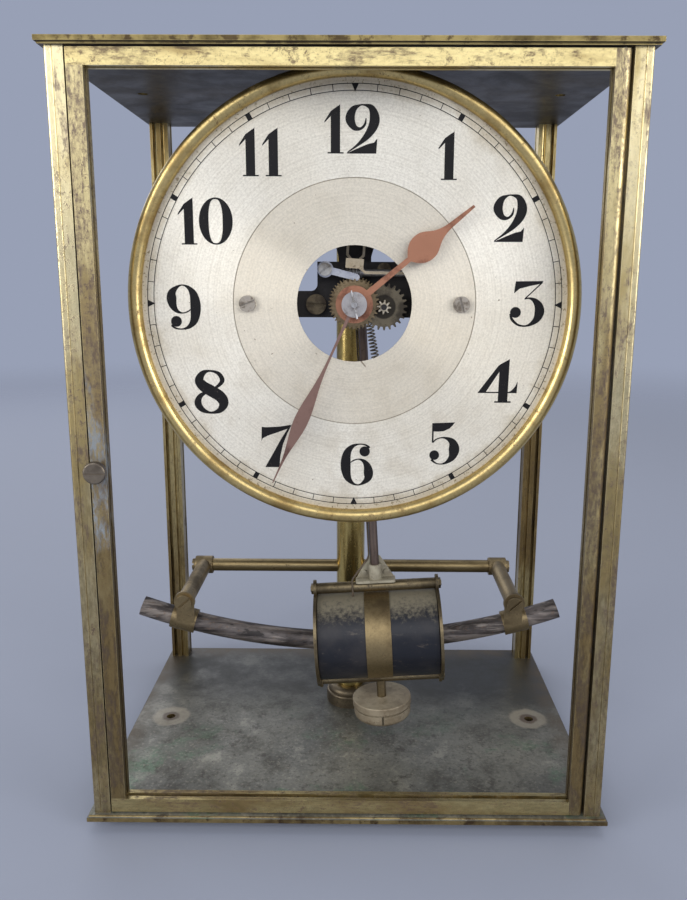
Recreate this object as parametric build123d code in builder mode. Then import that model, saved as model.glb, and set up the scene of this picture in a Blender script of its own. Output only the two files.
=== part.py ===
"""Electric pendulum clock in a glazed brass case, with its panes out.

Millimetres. +Z is up, the dial faces -Y and the origin is on the surface that the clock
stands on, under the middle of its outline. Heights are counted from the deck, the base
plate's top face, and depths from the middle of the case. The pendulum is drawn where it
hangs at the moment shown, swung to the right.
"""
import os
from math import asin, atan2, cos, degrees, hypot, pi, radians, sin, sqrt

from build123d import *

# Case
case_width = 192.0
case_depth = 139.6
case_height = 270.6
plate_overhang = 2.2
plate_thickness = 2.4
plate_lip = 1.6
plate_cove = 0.8
foot_height = 5.0
foot_radius = 7.0
foot_inset = 14.0
foot_round = 1.0
fixing_spacing = 165.6
fixing_hole_radius = 2.0

# Posts
front_post_width = 6.3
post_depth = 8.5
post_corner_radius = 0.9
post_wall = 1.25
reed_inset = 2.6
reed_width = 0.4
flute_inset = 6.0
flute_radius = 0.95
pane_slot = 1.7
pane_slot_depth = 3.0
post_screw_shank = 1.3
post_screw_head = 2.4
post_screw_recess = 1.4
post_screw_slot = 0.8
post_screw_slot_depth = 0.7
post_screw_grip = 6.0
post_screw_side_inset = 3.6
post_screw_end_inset = 2.9

# Door
door_gap = 0.5
door_thickness = 5.8
stile_width = 5.4
rail_height = 5.4
door_pane_slot = 2.0
door_pane_slot_depth = 2.0
hinge_inset = 2.2
hinge_pin_radius = 0.8
hinge_pin_grip = 1.7
knob_height = 133.6
knob_radius = 3.9
knob_disc = 2.2
knob_neck_radius = 1.6
knob_reach = 5.2
knob_shaft_radius = 1.2
knob_slot_width = 0.8
knob_slot_depth = 0.5
knob_round = 0.6
escutcheon_radius = 2.6
escutcheon_thickness = 0.8
tongue_length = 5.3
tongue_width = 2.6
tongue_thickness = 1.2
tongue_bite_clearance = 0.35

# Column, cross bar and magnet
column_radius = 6.5
column_bore = 4.6
column_set_back = 19.0
column_headroom = 30.6
column_stud_radius = 3.0
column_nut_radius = 5.0
column_nut_height = 2.6
foot_collar_radius = 11.2
foot_collar_height = 5.6
foot_dome_radius = 10.2
foot_dome_height = 2.9
cap_radius = 7.6
cap_height = 4.0
bar_rise = 16.3
bar_radius = 2.9
bar_grip = 4.0
arm_spacing = 137.0
arm_radius = 3.4
knuckle_radius = 4.1
collar_radius = 4.4
collar_thickness = 1.4
arm_screw_head = 3.35
arm_screw_height = 1.9
arm_screw_shank = 1.4
arm_screw_grip = 7.0
magnet_plane = -20.0
magnet_radius = 4.05
magnet_bend_radius = 258.0
magnet_span = 175.0
magnet_drop = 3.3
strap_width = 10.3
strap_thickness = 0.9
strap_ear_width = 7.4
strap_shift = 1.5
strap_ease = 0.1

# Dial
movement_x = 2.0
bezel_headroom = 0.7
dial_face = -53.0
dial_thickness = 1.0
dial_hole_radius = 20.3
bezel_radius = 79.6
bezel_width = 4.7
bezel_front = 3.0
bezel_back = 1.6
bezel_lap = 2.6
inner_ring_radius = 42.7
engraving_width = 0.3
engraving_depth = 0.15
dial_screw_spacing = 75.4
dial_screw_head = 2.9
dial_screw_height = 1.4
dial_screw_shank = 1.4
dial_slot_turns = (22.0, -74.0)
dial_spacer_radius = 3.4

# Movement
plate_face = -38.5
movement_plate_thickness = 2.5
plate_left = 13.8
plate_right = 24.0
plate_top = 14.9
plate_bottom = 5.3
arm_top = 4.3
arm_reach = 42.5
plate_inner_fillet = 2.5
bracket_thickness = 3.0
bracket_drop = 2.0
bracket_ring_radius = 10.2
bracket_ring_height = 12.0
bracket_arm_width = 12.0
bracket_arm_height = 7.0
bracket_wide = 30.0
bracket_narrow = 12.0
bracket_neck_rise = 16.7
bracket_foot_rise = 2.7
window_width = 8.6
window_height = 5.0
movement_screw_head = 2.5
movement_screw_height = 1.3
movement_screw_shank = 1.1
bracket_screw_x = 4.0
bracket_screw_height = 5.0
boss_screw_head = 3.7
click_screw_head = 2.35

# Wheels, from the plate's face forwards
arbor_radius = 1.0
wheel_distance = 10.6
wheel_angle = -6.0
cannon_teeth = 8
minute_wheel_teeth = 24
pinion_teeth = 8
hour_wheel_teeth = 32
drive_teeth = 48
drive_tip_radius = 9.6
drive_tooth_depth = 0.9
drive_wheel_stand = 2.3
drive_wheel_thickness = 1.4
worm_tip_radius = 1.9
worm_shaft_radius = 1.3
worm_engagement = 0.6
worm_turns = 5
worm_root_share = 0.28
worm_crest_share = 0.08
worm_thread_sink = 0.15
worm_left = 3.8
worm_right = 22.0
worm_cock_width = 2.0
worm_cock_height = 3.7
worm_cock_wall = 0.9
ratchet_teeth = 20
ratchet_radius = 5.0
ratchet_tooth_depth = 0.6
ratchet_thickness = 1.2
ratchet_gap = 0.5
cannon_stand = 5.8
cannon_leaf = 2.3
minute_wheel_stand = 6.2
minute_wheel_thickness = 1.5
pinion_leaf = 3.4
hour_wheel_stand = 8.7
hour_wheel_thickness = 1.4
cannon_pipe_radius = 1.8
hour_pipe_radius = 2.4
running_clearance = 0.05
fixed_clearance = 0.02
screw_end_clearance = 0.5

# Hands
hour_hand_stand = 3.0
minute_hand_stand = 5.4
hand_thickness = 0.6
hour_angle = 50.8
minute_angle = 204.7
hour_hub_radius = 6.5
hour_shaft_width = 2.3
hour_neck = 24.4
hour_neck_width = 1.8
hour_belly = 30.8
hour_belly_width = 9.9
hour_throat = 42.0
hour_throat_width = 1.9
hour_hand_length = 52.6
hour_tip_width = 0.9
minute_hub_radius = 3.6
minute_root_width = 1.1
minute_shaft_width = 2.2
minute_neck = 31.5
minute_belly = 46.0
minute_belly_width = 5.0
minute_throat = 58.0
minute_throat_width = 1.5
minute_hand_length = 70.0
minute_tip_width = 0.35
collet_radius = 4.4
collet_thickness = 0.8
taper_pin_radius = 0.4
taper_pin_length = 9.8
taper_pin_angle = 168.0
taper_pin_slope = 0.7
arbor_tip = 2.6

# Contact fork and click
fork_height = 14.1
fork_hub_radius = 1.1
fork_hub_stand = 0.4
fork_hub_length = 2.2
fork_spindle_radius = 0.8
fork_notch_radius = 1.2
fork_prong_width = 0.9
fork_prong_gap = 5.0
fork_prong_reach = 13.6
fork_thickness = 1.0
fork_prong_stand = 1.0
fork_arm_width = 1.0
fork_block_width = 6.4
fork_block_height = 3.4
fork_arm_reach = 24.0
fork_arm_stand = 8.6
click_pivot_x = -10.6
click_pivot_z = 12.1
click_tip_x = 0.6
click_tip_z = 9.3
click_stand = 5.4
click_thickness = 1.2
click_eye_radius = 2.9
click_root_width = 2.6
click_tip_width = 2.4

# Contact spring beside the column
spring_wire_radius = 0.3
spring_coil_radius = 1.5
spring_turns = 26
spring_top_drop = 0.3
spring_top_x = 6.0
spring_low_drop = 39.3
spring_low_x = 13.4
spring_set_back = 8.0
spring_collar_radius = 8.4
spring_collar_height = 4.4
spring_stud_radius = 0.9
spring_seat = 0.8
spring_peg = 2.6

# Pendulum, along its own leaning line
pendulum_plane = -20.0
pivot_drop = 4.0
swing_at_rest = 3.4
coil_height = 51.0
block_width = 9.0
block_cheek = 2.4
block_gap = 7.2
block_drop = 3.0
pivot_pin_radius = 1.0
leaf_thickness = 0.3
leaf_width = 6.0
leaf_eye_radius = 1.9
clamp_top = 6.5
clamp_length = 9.0
clamp_width = 5.4
clamp_depth = 7.2
leaf_grip = 3.0
impulse_drop = 12.0
impulse_pin_radius = 1.0
impulse_roller_radius = 2.0
rod_radius = 1.8
rod_socket = 3.5
saddle_width = 16.6
saddle_top_width = 4.6
saddle_height = 10.2
saddle_thickness = 1.0
saddle_lap = 3.2
saddle_sleeve_radius = 2.6
saddle_sleeve_height = 6.4
rivet_radius = 1.2
rivet_height = 0.7
coil_length = 52.4
coil_bore = 8.6
coil_core = 9.6
coil_wrap_radius = 18.2
cheek_radius = 20.0
cheek_thickness = 1.2
top_bar_radius = 2.3
top_bar_offset = 21.2
top_ear_radius = 3.7
low_bar_radius = 1.7
low_bar_offset = 20.7
low_ear_radius = 2.9
bar_end_radius = 1.2
bar_nut_radius = 2.3
bar_nut_thickness = 1.0
band_width = 10.4
band_thickness = 0.4
stem_radius = 2.0
stem_end = 41.0
nut_distance = 32.6
nut_radius = 12.6
nut_upper = 3.2
nut_groove = 0.7
nut_groove_radius = 11.4
nut_lower = 4.8
nut_lower_radius = 12.2
nut_round = 2.4
nut_slot_width = 0.9
nut_slot_depth = 1.4
lead_radius = 0.4
lead_offset = 2.25
lead_bend_rise = 34.0
lead_bend_slope = 8.6
lead_foot_x = 9.8
lead_foot_y = 2.9

# Places that follow from the sizes above
dial_height = case_height - bezel_radius - bezel_headroom
column_height = case_height - column_headroom
bracket_top = column_height - bracket_drop
bracket_neck = dial_height + bracket_neck_rise
bracket_foot = dial_height + bracket_foot_rise
pivot_height = bracket_top - bracket_arm_height - pivot_drop
coil_distance = pivot_height - coil_height
bar_height = coil_height + bar_rise
magnet_low = coil_height - magnet_drop
mid_y = (knob_reach - plate_overhang) / 2
deck = foot_height + plate_thickness
ceiling = deck + case_height
front_y = mid_y - case_depth / 2
back_y = mid_y + case_depth / 2
side_x = case_width / 2
post_x = side_x - front_post_width
door_x = post_x - door_gap
door_low = deck + door_gap
door_high = ceiling - door_gap
stile_x = door_x - stile_width / 2
knob_z = deck + knob_height
hinge_x = door_x - hinge_inset
hinge_y = front_y + hinge_inset
column_y = mid_y + column_set_back
arm_x = arm_spacing / 2
magnet_y = mid_y + magnet_plane
arm_front_y = magnet_y - magnet_radius - strap_ease
magnet_top_z = deck + magnet_low + magnet_bend_radius
magnet_half_angle = degrees(asin(magnet_span / 2 / magnet_bend_radius))
dial_z = deck + dial_height
dial_y = mid_y + dial_face
plate_y = mid_y + plate_face
plate_back_y = plate_y + movement_plate_thickness
bracket_back_y = plate_back_y + bracket_thickness
pendulum_y = mid_y + pendulum_plane
pivot_z = deck + pivot_height
worm_z = dial_z + drive_tip_radius + worm_tip_radius - worm_engagement
worm_y = plate_y - drive_wheel_stand - drive_wheel_thickness / 2
minute_wheel_x = movement_x + wheel_distance * cos(radians(wheel_angle))
minute_wheel_z = dial_z + wheel_distance * sin(radians(wheel_angle))
minute_module = 2 * wheel_distance / (cannon_teeth + minute_wheel_teeth)
hour_module = 2 * wheel_distance / (pinion_teeth + hour_wheel_teeth)
hour_hand_y = dial_y - hour_hand_stand
minute_hand_y = dial_y - minute_hand_stand
cannon_end_y = minute_hand_y - hand_thickness
fork_z = dial_z + fork_height
fork_lean = -degrees(
    atan2(impulse_drop * sin(radians(swing_at_rest)), pivot_z - impulse_drop - fork_z)
)


def facing(x, y, z, lean=0.0):
    """Upright plane that faces the front, leaning to the left by lean degrees."""
    right = (cos(radians(lean)), 0, sin(radians(lean)))
    return Plane(origin=(x, y, z), x_dir=right, z_dir=(0, -1, 0))


def level(z):
    return Plane.XY.offset(z)


def disc(plane, radius, thickness, bore=0.0):
    """Round plate or ring that grows from the plane along its normal."""
    with BuildPart() as piece:
        with BuildSketch(plane):
            Circle(radius)
            if bore:
                Circle(bore, mode=Mode.SUBTRACT)
        extrude(amount=thickness)
    return piece.part


def slotted_screws(plane, places, head, height, shank, grip, slot_angle=20.0):
    """Cheese-head screws on a plane: heads stand on it and shanks run behind it."""
    slot_width = 0.26 * head
    slot_depth = 0.45 * height
    with BuildPart() as screws:
        with BuildSketch(plane):
            with Locations(*places):
                Circle(head)
        extrude(amount=height)
        with BuildSketch(plane):
            with Locations(*places):
                Circle(shank)
        extrude(amount=-grip)
        with BuildSketch(plane.offset(height)):
            with Locations(*places):
                Rectangle(2.2 * head, slot_width, rotation=slot_angle)
        extrude(amount=-slot_depth, mode=Mode.SUBTRACT)
    return screws.part


def gear_outline(teeth, module, tooth_at):
    """Points of a plain wheel with one tooth centred on the angle tooth_at."""
    pitch_radius = teeth * module / 2
    tip_radius = pitch_radius + 0.75 * module
    root_radius = pitch_radius - 1.15 * module
    step = 360 / teeth
    points = []
    for tooth in range(teeth):
        for radius, share in (
            (root_radius, -0.29),
            (tip_radius, -0.11),
            (tip_radius, 0.11),
            (root_radius, 0.29),
        ):
            angle = radians(tooth_at + step * (tooth + share))
            points.append((radius * cos(angle), radius * sin(angle)))
    return points


def gear(plane, teeth, module, tooth_at, thickness, bore):
    with BuildPart() as wheel:
        with BuildSketch(plane):
            Polygon(*gear_outline(teeth, module, tooth_at), align=None)
            Circle(bore, mode=Mode.SUBTRACT)
        extrude(amount=thickness)
    return wheel.part


pieces = {}


# Base and top plates
plate_size = (case_width + 2 * plate_overhang, case_depth + 2 * plate_overhang)
raised_size = (plate_size[0] - 2 * plate_cove, plate_size[1] - 2 * plate_cove)
post_screw_x = side_x - post_screw_side_inset
post_screw_y = case_depth / 2 - post_screw_end_inset


def moulded_plate(outer_z, up):
    """Plate with a square lip at outer_z and a cove that runs in towards the case."""
    with BuildPart() as plate:
        with BuildSketch(level(outer_z)):
            with Locations((0, mid_y)):
                Rectangle(*plate_size)
        extrude(amount=up * plate_lip)
        with BuildSketch(level(outer_z + up * plate_lip)):
            with Locations((0, mid_y)):
                Rectangle(*raised_size)
        extrude(amount=up * (plate_thickness - plate_lip))
        step_z = outer_z + up * plate_lip
        inner = [
            edge
            for edge in plate.edges()
            if abs(edge.center().Z - step_z) < 0.01
            and abs(edge.center().X) < raised_size[0] / 2 + 0.1
            and abs(edge.center().Y - mid_y) < raised_size[1] / 2 + 0.1
        ]
        fillet(inner, radius=plate_cove - 0.1)
        with BuildSketch(level(outer_z)):
            with Locations((-fixing_spacing / 2, mid_y), (fixing_spacing / 2, mid_y)):
                Circle(fixing_hole_radius)
        extrude(amount=up * plate_thickness, mode=Mode.SUBTRACT)
        with BuildSketch(level(outer_z)):
            with Locations((0, mid_y)):
                with GridLocations(2 * post_screw_x, 2 * post_screw_y, 2, 2):
                    Circle(post_screw_shank + fixed_clearance)
        extrude(amount=up * plate_thickness, mode=Mode.SUBTRACT)
        with BuildSketch(level(outer_z)):
            with Locations((0, mid_y)):
                with GridLocations(2 * post_screw_x, 2 * post_screw_y, 2, 2):
                    Circle(post_screw_head + fixed_clearance)
        extrude(amount=up * post_screw_recess, mode=Mode.SUBTRACT)
        inner_z = outer_z + up * plate_thickness
        with BuildSketch(level(inner_z)):
            with Locations((hinge_x, hinge_y)):
                Circle(hinge_pin_radius + fixed_clearance)
        extrude(amount=-up * hinge_pin_grip, mode=Mode.SUBTRACT)
    return plate.part


base_blank = moulded_plate(foot_height, 1)
with BuildPart() as base_plate:
    add(base_blank)
    with BuildSketch(level(foot_height)):
        with Locations((0, column_y)):
            Circle(column_stud_radius + fixed_clearance)
    extrude(amount=plate_thickness, mode=Mode.SUBTRACT)
pieces["base_plate"] = base_plate.part
pieces["top_plate"] = moulded_plate(ceiling + plate_thickness, -1)

with BuildPart() as feet:
    foot_spacing_x = case_width - 2 * foot_inset
    foot_spacing_y = case_depth - 2 * foot_inset
    with BuildSketch(level(0)):
        with Locations((0, mid_y)):
            with GridLocations(foot_spacing_x, foot_spacing_y, 2, 2):
                Circle(foot_radius)
    extrude(amount=foot_height)
    fillet(feet.edges().group_by(Axis.Z)[0], radius=foot_round)
pieces["feet"] = feet.part


# Posts. The left front one has a pocket that the latch tongue turns into
pocket_depth = tongue_length - stile_width / 2 - door_gap + tongue_bite_clearance
pocket_width = tongue_thickness + 2 * tongue_bite_clearance


def front_post(side):
    """Front post with a rounded outer corner, a fine reed and the side pane's slot."""
    slot_x = side * (side_x - post_wall - pane_slot / 2)
    with BuildPart() as post:
        with BuildSketch(level(deck)):
            with Locations((side * (side_x - front_post_width / 2), front_y + post_depth / 2)):
                Rectangle(front_post_width, post_depth)
            with Locations((slot_x, front_y + post_depth - pane_slot_depth / 2)):
                Rectangle(pane_slot, pane_slot_depth, mode=Mode.SUBTRACT)
            with Locations((side * (side_x - reed_inset), front_y)):
                Rectangle(reed_width, reed_width, rotation=45, mode=Mode.SUBTRACT)
        extrude(amount=case_height)
        uprights = post.edges().filter_by(Axis.Z)
        outer = uprights.sort_by(lambda e: side * e.center().X * 10 - e.center().Y)[-1]
        fillet(outer, radius=post_corner_radius)
        for end_z, way in ((deck, 1), (ceiling, -1)):
            with BuildSketch(level(end_z)):
                with Locations((side * post_screw_x, mid_y - post_screw_y)):
                    Circle(post_screw_shank + fixed_clearance)
            extrude(amount=way * post_screw_grip, mode=Mode.SUBTRACT)
        if side < 0:
            pocket_low = knob_z - tongue_length - tongue_bite_clearance
            pocket_high = knob_z + tongue_width / 2 + tongue_bite_clearance
            with BuildSketch(facing(-post_x, front_y + door_thickness, 0)):
                with Locations((-pocket_depth / 2, (pocket_low + pocket_high) / 2)):
                    Rectangle(pocket_depth, pocket_high - pocket_low)
            extrude(amount=-pocket_width, mode=Mode.SUBTRACT)
    return post.part


def back_post(side):
    """Back post with slots for the side pane and the back pane, and a fluted corner."""
    with BuildPart() as post:
        with BuildSketch(level(deck)):
            with Locations((side * (side_x - post_depth / 2), back_y - post_depth / 2)):
                Rectangle(post_depth, post_depth)
            side_slot_x = side * (side_x - post_wall - pane_slot / 2)
            with Locations((side_slot_x, back_y - post_depth + pane_slot_depth / 2)):
                Rectangle(pane_slot, pane_slot_depth, mode=Mode.SUBTRACT)
            back_slot_x = side * (side_x - post_depth + pane_slot_depth / 2)
            with Locations((back_slot_x, back_y - post_wall - pane_slot / 2)):
                Rectangle(pane_slot_depth, pane_slot, mode=Mode.SUBTRACT)
            with Locations((side * (side_x - flute_inset), back_y - post_depth)):
                Circle(flute_radius, mode=Mode.SUBTRACT)
        extrude(amount=case_height)
        uprights = post.edges().filter_by(Axis.Z)
        outer = uprights.sort_by(lambda e: side * e.center().X + e.center().Y)[-1]
        fillet(outer, radius=post_corner_radius)
        for end_z, way in ((deck, 1), (ceiling, -1)):
            with BuildSketch(level(end_z)):
                with Locations((side * post_screw_x, mid_y + post_screw_y)):
                    Circle(post_screw_shank + fixed_clearance)
            extrude(amount=way * post_screw_grip, mode=Mode.SUBTRACT)
    return post.part


pieces["front_left_post"] = front_post(-1)
pieces["front_right_post"] = front_post(1)
pieces["back_left_post"] = back_post(-1)
pieces["back_right_post"] = back_post(1)

with BuildPart() as post_screws:
    head_height = post_screw_recess - fixed_clearance
    for outer_z, way in ((foot_height, 1), (ceiling + plate_thickness, -1)):
        with BuildSketch(level(outer_z + way * fixed_clearance)):
            with Locations((0, mid_y)):
                with GridLocations(2 * post_screw_x, 2 * post_screw_y, 2, 2):
                    Circle(post_screw_head)
        extrude(amount=way * head_height)
        with BuildSketch(level(outer_z + way * head_height)):
            with Locations((0, mid_y)):
                with GridLocations(2 * post_screw_x, 2 * post_screw_y, 2, 2):
                    Circle(post_screw_shank)
        shank_length = plate_thickness + post_screw_grip - head_height - screw_end_clearance
        extrude(amount=way * shank_length)
        with BuildSketch(level(outer_z)):
            with Locations((0, mid_y)):
                with GridLocations(2 * post_screw_x, 2 * post_screw_y, 2, 2):
                    Rectangle(3 * post_screw_head, post_screw_slot, rotation=35)
        extrude(amount=way * post_screw_slot_depth, mode=Mode.SUBTRACT)
pieces["post_screws"] = post_screws.part


# Door
slot_y = front_y + door_thickness / 2


def stile(side, low, high):
    """Upright door bar with the door pane's slot in its inner face."""
    with BuildPart() as bar:
        with BuildSketch(level(low)):
            with Locations((side * stile_x, front_y + door_thickness / 2)):
                Rectangle(stile_width, door_thickness)
            slot_x = side * (door_x - stile_width + door_pane_slot_depth / 2)
            with Locations((slot_x, slot_y)):
                Rectangle(door_pane_slot_depth, door_pane_slot, mode=Mode.SUBTRACT)
        extrude(amount=high - low)
    return bar.part


def rail(low, pane_side):
    """Level door bar from the left edge to the right stile, with the pane's slot."""
    left = -door_x
    right = door_x - stile_width
    with BuildPart() as bar:
        with BuildSketch(level(low)):
            with Locations(((left + right) / 2, front_y + door_thickness / 2)):
                Rectangle(right - left, door_thickness)
        extrude(amount=rail_height)
        slot_z = low + rail_height if pane_side > 0 else low
        with BuildSketch(level(slot_z)):
            with Locations(((left + stile_width + right) / 2, slot_y)):
                Rectangle(right - left - stile_width, door_pane_slot)
        extrude(amount=-pane_side * door_pane_slot_depth, mode=Mode.SUBTRACT)
    return bar.part


pieces["door_top_rail"] = rail(door_high - rail_height, -1)
pieces["door_bottom_rail"] = rail(door_low, 1)

right_blank = stile(1, door_low, door_high)
with BuildPart() as right_stile:
    add(right_blank)
    uprights = right_stile.edges().filter_by(Axis.Z)
    pivot_corner = uprights.sort_by(lambda e: e.center().X - e.center().Y)[-1]
    fillet(pivot_corner, radius=hinge_inset)
    for end_z, way in ((door_low, 1), (door_high, -1)):
        with BuildSketch(level(end_z)):
            with Locations((hinge_x, hinge_y)):
                Circle(hinge_pin_radius + running_clearance)
        extrude(amount=way * (hinge_pin_grip + door_gap), mode=Mode.SUBTRACT)
pieces["door_right_stile"] = right_stile.part

left_blank = stile(-1, door_low + rail_height, door_high - rail_height)
with BuildPart() as left_stile:
    add(left_blank)
    with BuildSketch(facing(-stile_x, front_y, deck + knob_height)):
        Circle(knob_shaft_radius + running_clearance)
    extrude(amount=-door_thickness, mode=Mode.SUBTRACT)
pieces["door_left_stile"] = left_stile.part

with BuildPart() as hinge_pins:
    for inner_z, way in ((deck, 1), (ceiling, -1)):
        with BuildSketch(level(inner_z - way * hinge_pin_grip)):
            with Locations((hinge_x, hinge_y)):
                Circle(hinge_pin_radius)
        extrude(amount=way * (2 * hinge_pin_grip))
pieces["door_hinge_pins"] = hinge_pins.part

# Latch on the left stile. The tongue hangs down, which leaves the door free
knob_plane = facing(-stile_x, front_y, knob_z)
pieces["latch_escutcheon"] = disc(
    knob_plane, escutcheon_radius, escutcheon_thickness, knob_shaft_radius + running_clearance
)
shaft_back = door_thickness + tongue_thickness + tongue_bite_clearance
with BuildPart() as latch_knob:
    with BuildSketch(knob_plane.offset(-shaft_back)):
        Circle(knob_shaft_radius)
    extrude(amount=shaft_back + escutcheon_thickness + running_clearance)
    with BuildSketch(knob_plane.offset(escutcheon_thickness + running_clearance)):
        Circle(knob_neck_radius)
    extrude(amount=knob_reach - knob_disc - escutcheon_thickness - running_clearance)
    with BuildSketch(knob_plane.offset(knob_reach - knob_disc)):
        Circle(knob_radius)
    extrude(amount=knob_disc)
    fillet(latch_knob.edges().group_by(Axis.Y)[0], radius=knob_round)
    with BuildSketch(knob_plane.offset(knob_reach)):
        Rectangle(2 * knob_radius, knob_slot_width)
    extrude(amount=-knob_slot_depth, mode=Mode.SUBTRACT)
pieces["latch_knob"] = latch_knob.part

with BuildPart() as latch_tongue:
    with BuildSketch(knob_plane.offset(-door_thickness - tongue_bite_clearance)):
        with Locations((0, -tongue_length / 2)):
            Rectangle(tongue_width, tongue_length)
        Circle(tongue_width / 2)
        Circle(knob_shaft_radius + fixed_clearance, mode=Mode.SUBTRACT)
    extrude(amount=-tongue_thickness)
    tip = latch_tongue.edges().filter_by(Axis.Y).group_by(Axis.Z)[0]
    fillet(tip, radius=0.5)
pieces["latch_tongue"] = latch_tongue.part

# Column, its foot, nut and cap
with BuildPart() as column:
    with BuildSketch(level(deck)):
        with Locations((0, column_y)):
            Circle(column_radius)
    extrude(amount=column_height)
    with BuildSketch(level(deck + column_height)):
        with Locations((0, column_y)):
            Circle(column_bore)
    extrude(amount=-(column_height - bar_height - 3 * bar_radius), mode=Mode.SUBTRACT)
    with BuildSketch(level(deck)):
        with Locations((0, column_y)):
            Circle(column_stud_radius)
    extrude(amount=-plate_thickness - column_nut_height - 0.6)
    with BuildSketch(Plane.YZ):
        with Locations((column_y, deck + bar_height)):
            Circle(bar_radius + fixed_clearance)
    extrude(amount=2 * column_radius, both=True, mode=Mode.SUBTRACT)
pieces["column"] = column.part

with BuildPart() as column_foot:
    with BuildSketch(level(deck)):
        with Locations((0, column_y)):
            Circle(foot_collar_radius)
    extrude(amount=foot_collar_height)
    rim = column_foot.edges().group_by(Axis.Z)[-1]
    fillet(rim, radius=0.8)
    with BuildSketch(level(deck + foot_collar_height)):
        with Locations((0, column_y)):
            Circle(foot_dome_radius)
    extrude(amount=foot_dome_height)
    fillet(column_foot.edges().group_by(Axis.Z)[-1], radius=foot_dome_height * 0.8)
    with BuildSketch(level(deck)):
        with Locations((0, column_y)):
            Circle(column_radius + fixed_clearance)
    extrude(amount=foot_collar_height + foot_dome_height, mode=Mode.SUBTRACT)
pieces["column_foot"] = column_foot.part

with BuildPart() as column_nut:
    with BuildSketch(level(foot_height)):
        with Locations((0, column_y)):
            RegularPolygon(column_nut_radius, 6)
            Circle(column_stud_radius + fixed_clearance, mode=Mode.SUBTRACT)
    extrude(amount=-column_nut_height)
pieces["column_nut"] = column_nut.part

cap_plane = level(deck + column_height)
with BuildPart() as column_cap:
    with BuildSketch(cap_plane):
        with Locations((0, column_y)):
            Circle(cap_radius)
    extrude(amount=cap_height)
    fillet(column_cap.edges().group_by(Axis.Z)[-1], radius=0.8 * cap_height)
    with BuildSketch(cap_plane):
        with Locations((0, column_y)):
            Circle(column_bore - fixed_clearance)
    extrude(amount=-cap_height)
pieces["column_cap"] = column_cap.part

# Cross bar and the two arms that carry the magnet
bar_z = deck + bar_height
bar_end_x = arm_x - knuckle_radius + bar_grip
with BuildPart() as cross_bar:
    with BuildSketch(Plane.YZ):
        with Locations((column_y, bar_z)):
            Circle(bar_radius)
    extrude(amount=bar_end_x, both=True)
    with BuildSketch(Plane.YZ.offset(bar_end_x)):
        with Locations((column_y, bar_z)):
            Circle(arm_screw_shank + fixed_clearance)
    extrude(amount=-arm_screw_grip, mode=Mode.SUBTRACT)
    with BuildSketch(Plane.YZ.offset(-bar_end_x)):
        with Locations((column_y, bar_z)):
            Circle(arm_screw_shank + fixed_clearance)
    extrude(amount=arm_screw_grip, mode=Mode.SUBTRACT)
pieces["cross_bar"] = cross_bar.part


def magnet_arm(side):
    """Arm from the cross bar's end forwards over the magnet."""
    x = side * arm_x
    with BuildPart() as arm:
        with BuildSketch(facing(x, column_y, bar_z)):
            Circle(arm_radius)
        extrude(amount=column_y - arm_front_y)
        with BuildSketch(Plane.YZ.offset(x)):
            with Locations((column_y, bar_z)):
                Circle(knuckle_radius)
        extrude(amount=knuckle_radius, both=True)
        rims = arm.edges().filter_by(GeomType.CIRCLE).group_by(Axis.Y)[-1]
        fillet(rims, radius=0.5)
        with BuildSketch(Plane.YZ.offset(x - side * knuckle_radius)):
            with Locations((column_y, bar_z)):
                Circle(bar_radius + fixed_clearance)
        extrude(amount=side * bar_grip, mode=Mode.SUBTRACT)
        with BuildSketch(Plane.YZ.offset(x)):
            with Locations((column_y, bar_z)):
                Circle(arm_screw_shank + fixed_clearance)
        extrude(amount=knuckle_radius, both=True, mode=Mode.SUBTRACT)
        with BuildSketch(facing(x, arm_front_y, bar_z)):
            Circle(arm_screw_shank + fixed_clearance)
        extrude(amount=-arm_screw_grip, mode=Mode.SUBTRACT)
    return arm.part


pieces["left_magnet_arm"] = magnet_arm(-1)
pieces["right_magnet_arm"] = magnet_arm(1)


# Magnet and the straps that hold it
magnet_centre = (0, magnet_y, magnet_top_z)


def magnet_plane_at(angle):
    """Plane square to the magnet bar, angle degrees to the right of its lowest point."""
    turn = radians(angle)
    x = magnet_bend_radius * sin(turn)
    z = magnet_top_z - magnet_bend_radius * cos(turn)
    return Plane(origin=(x, magnet_y, z), x_dir=(0, 1, 0), z_dir=(cos(turn), 0, sin(turn)))


with BuildPart() as magnet:
    with BuildSketch(magnet_plane_at(-magnet_half_angle)):
        Circle(magnet_radius)
    revolve(axis=Axis(magnet_centre, (0, -1, 0)), revolution_arc=2 * magnet_half_angle)
pieces["magnet"] = magnet.part


def magnet_strap(side):
    """Band round the magnet with an ear that the arm's screw clamps."""
    angle = side * degrees(asin((arm_x + strap_shift) / magnet_bend_radius))
    inner = magnet_radius + strap_ease
    low_z = magnet_plane_at(angle).origin.Z
    with BuildPart() as strap:
        with BuildSketch(facing(side * arm_x, arm_front_y, low_z)):
            with Locations((0, (bar_z - low_z) / 2)):
                Rectangle(strap_ear_width, bar_z - low_z)
            with Locations((0, bar_z - low_z)):
                Circle(strap_ear_width / 2)
                Circle(arm_screw_shank + fixed_clearance, mode=Mode.SUBTRACT)
        extrude(amount=strap_thickness)
        with BuildSketch(magnet_plane_at(angle)):
            Circle(inner + strap_thickness)
        extrude(amount=strap_width / 2, both=True)
        with BuildSketch(magnet_plane_at(angle)):
            Circle(inner)
        extrude(amount=strap_width, both=True, mode=Mode.SUBTRACT)
    return strap.part


pieces["left_magnet_strap"] = magnet_strap(-1)
pieces["right_magnet_strap"] = magnet_strap(1)

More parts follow.
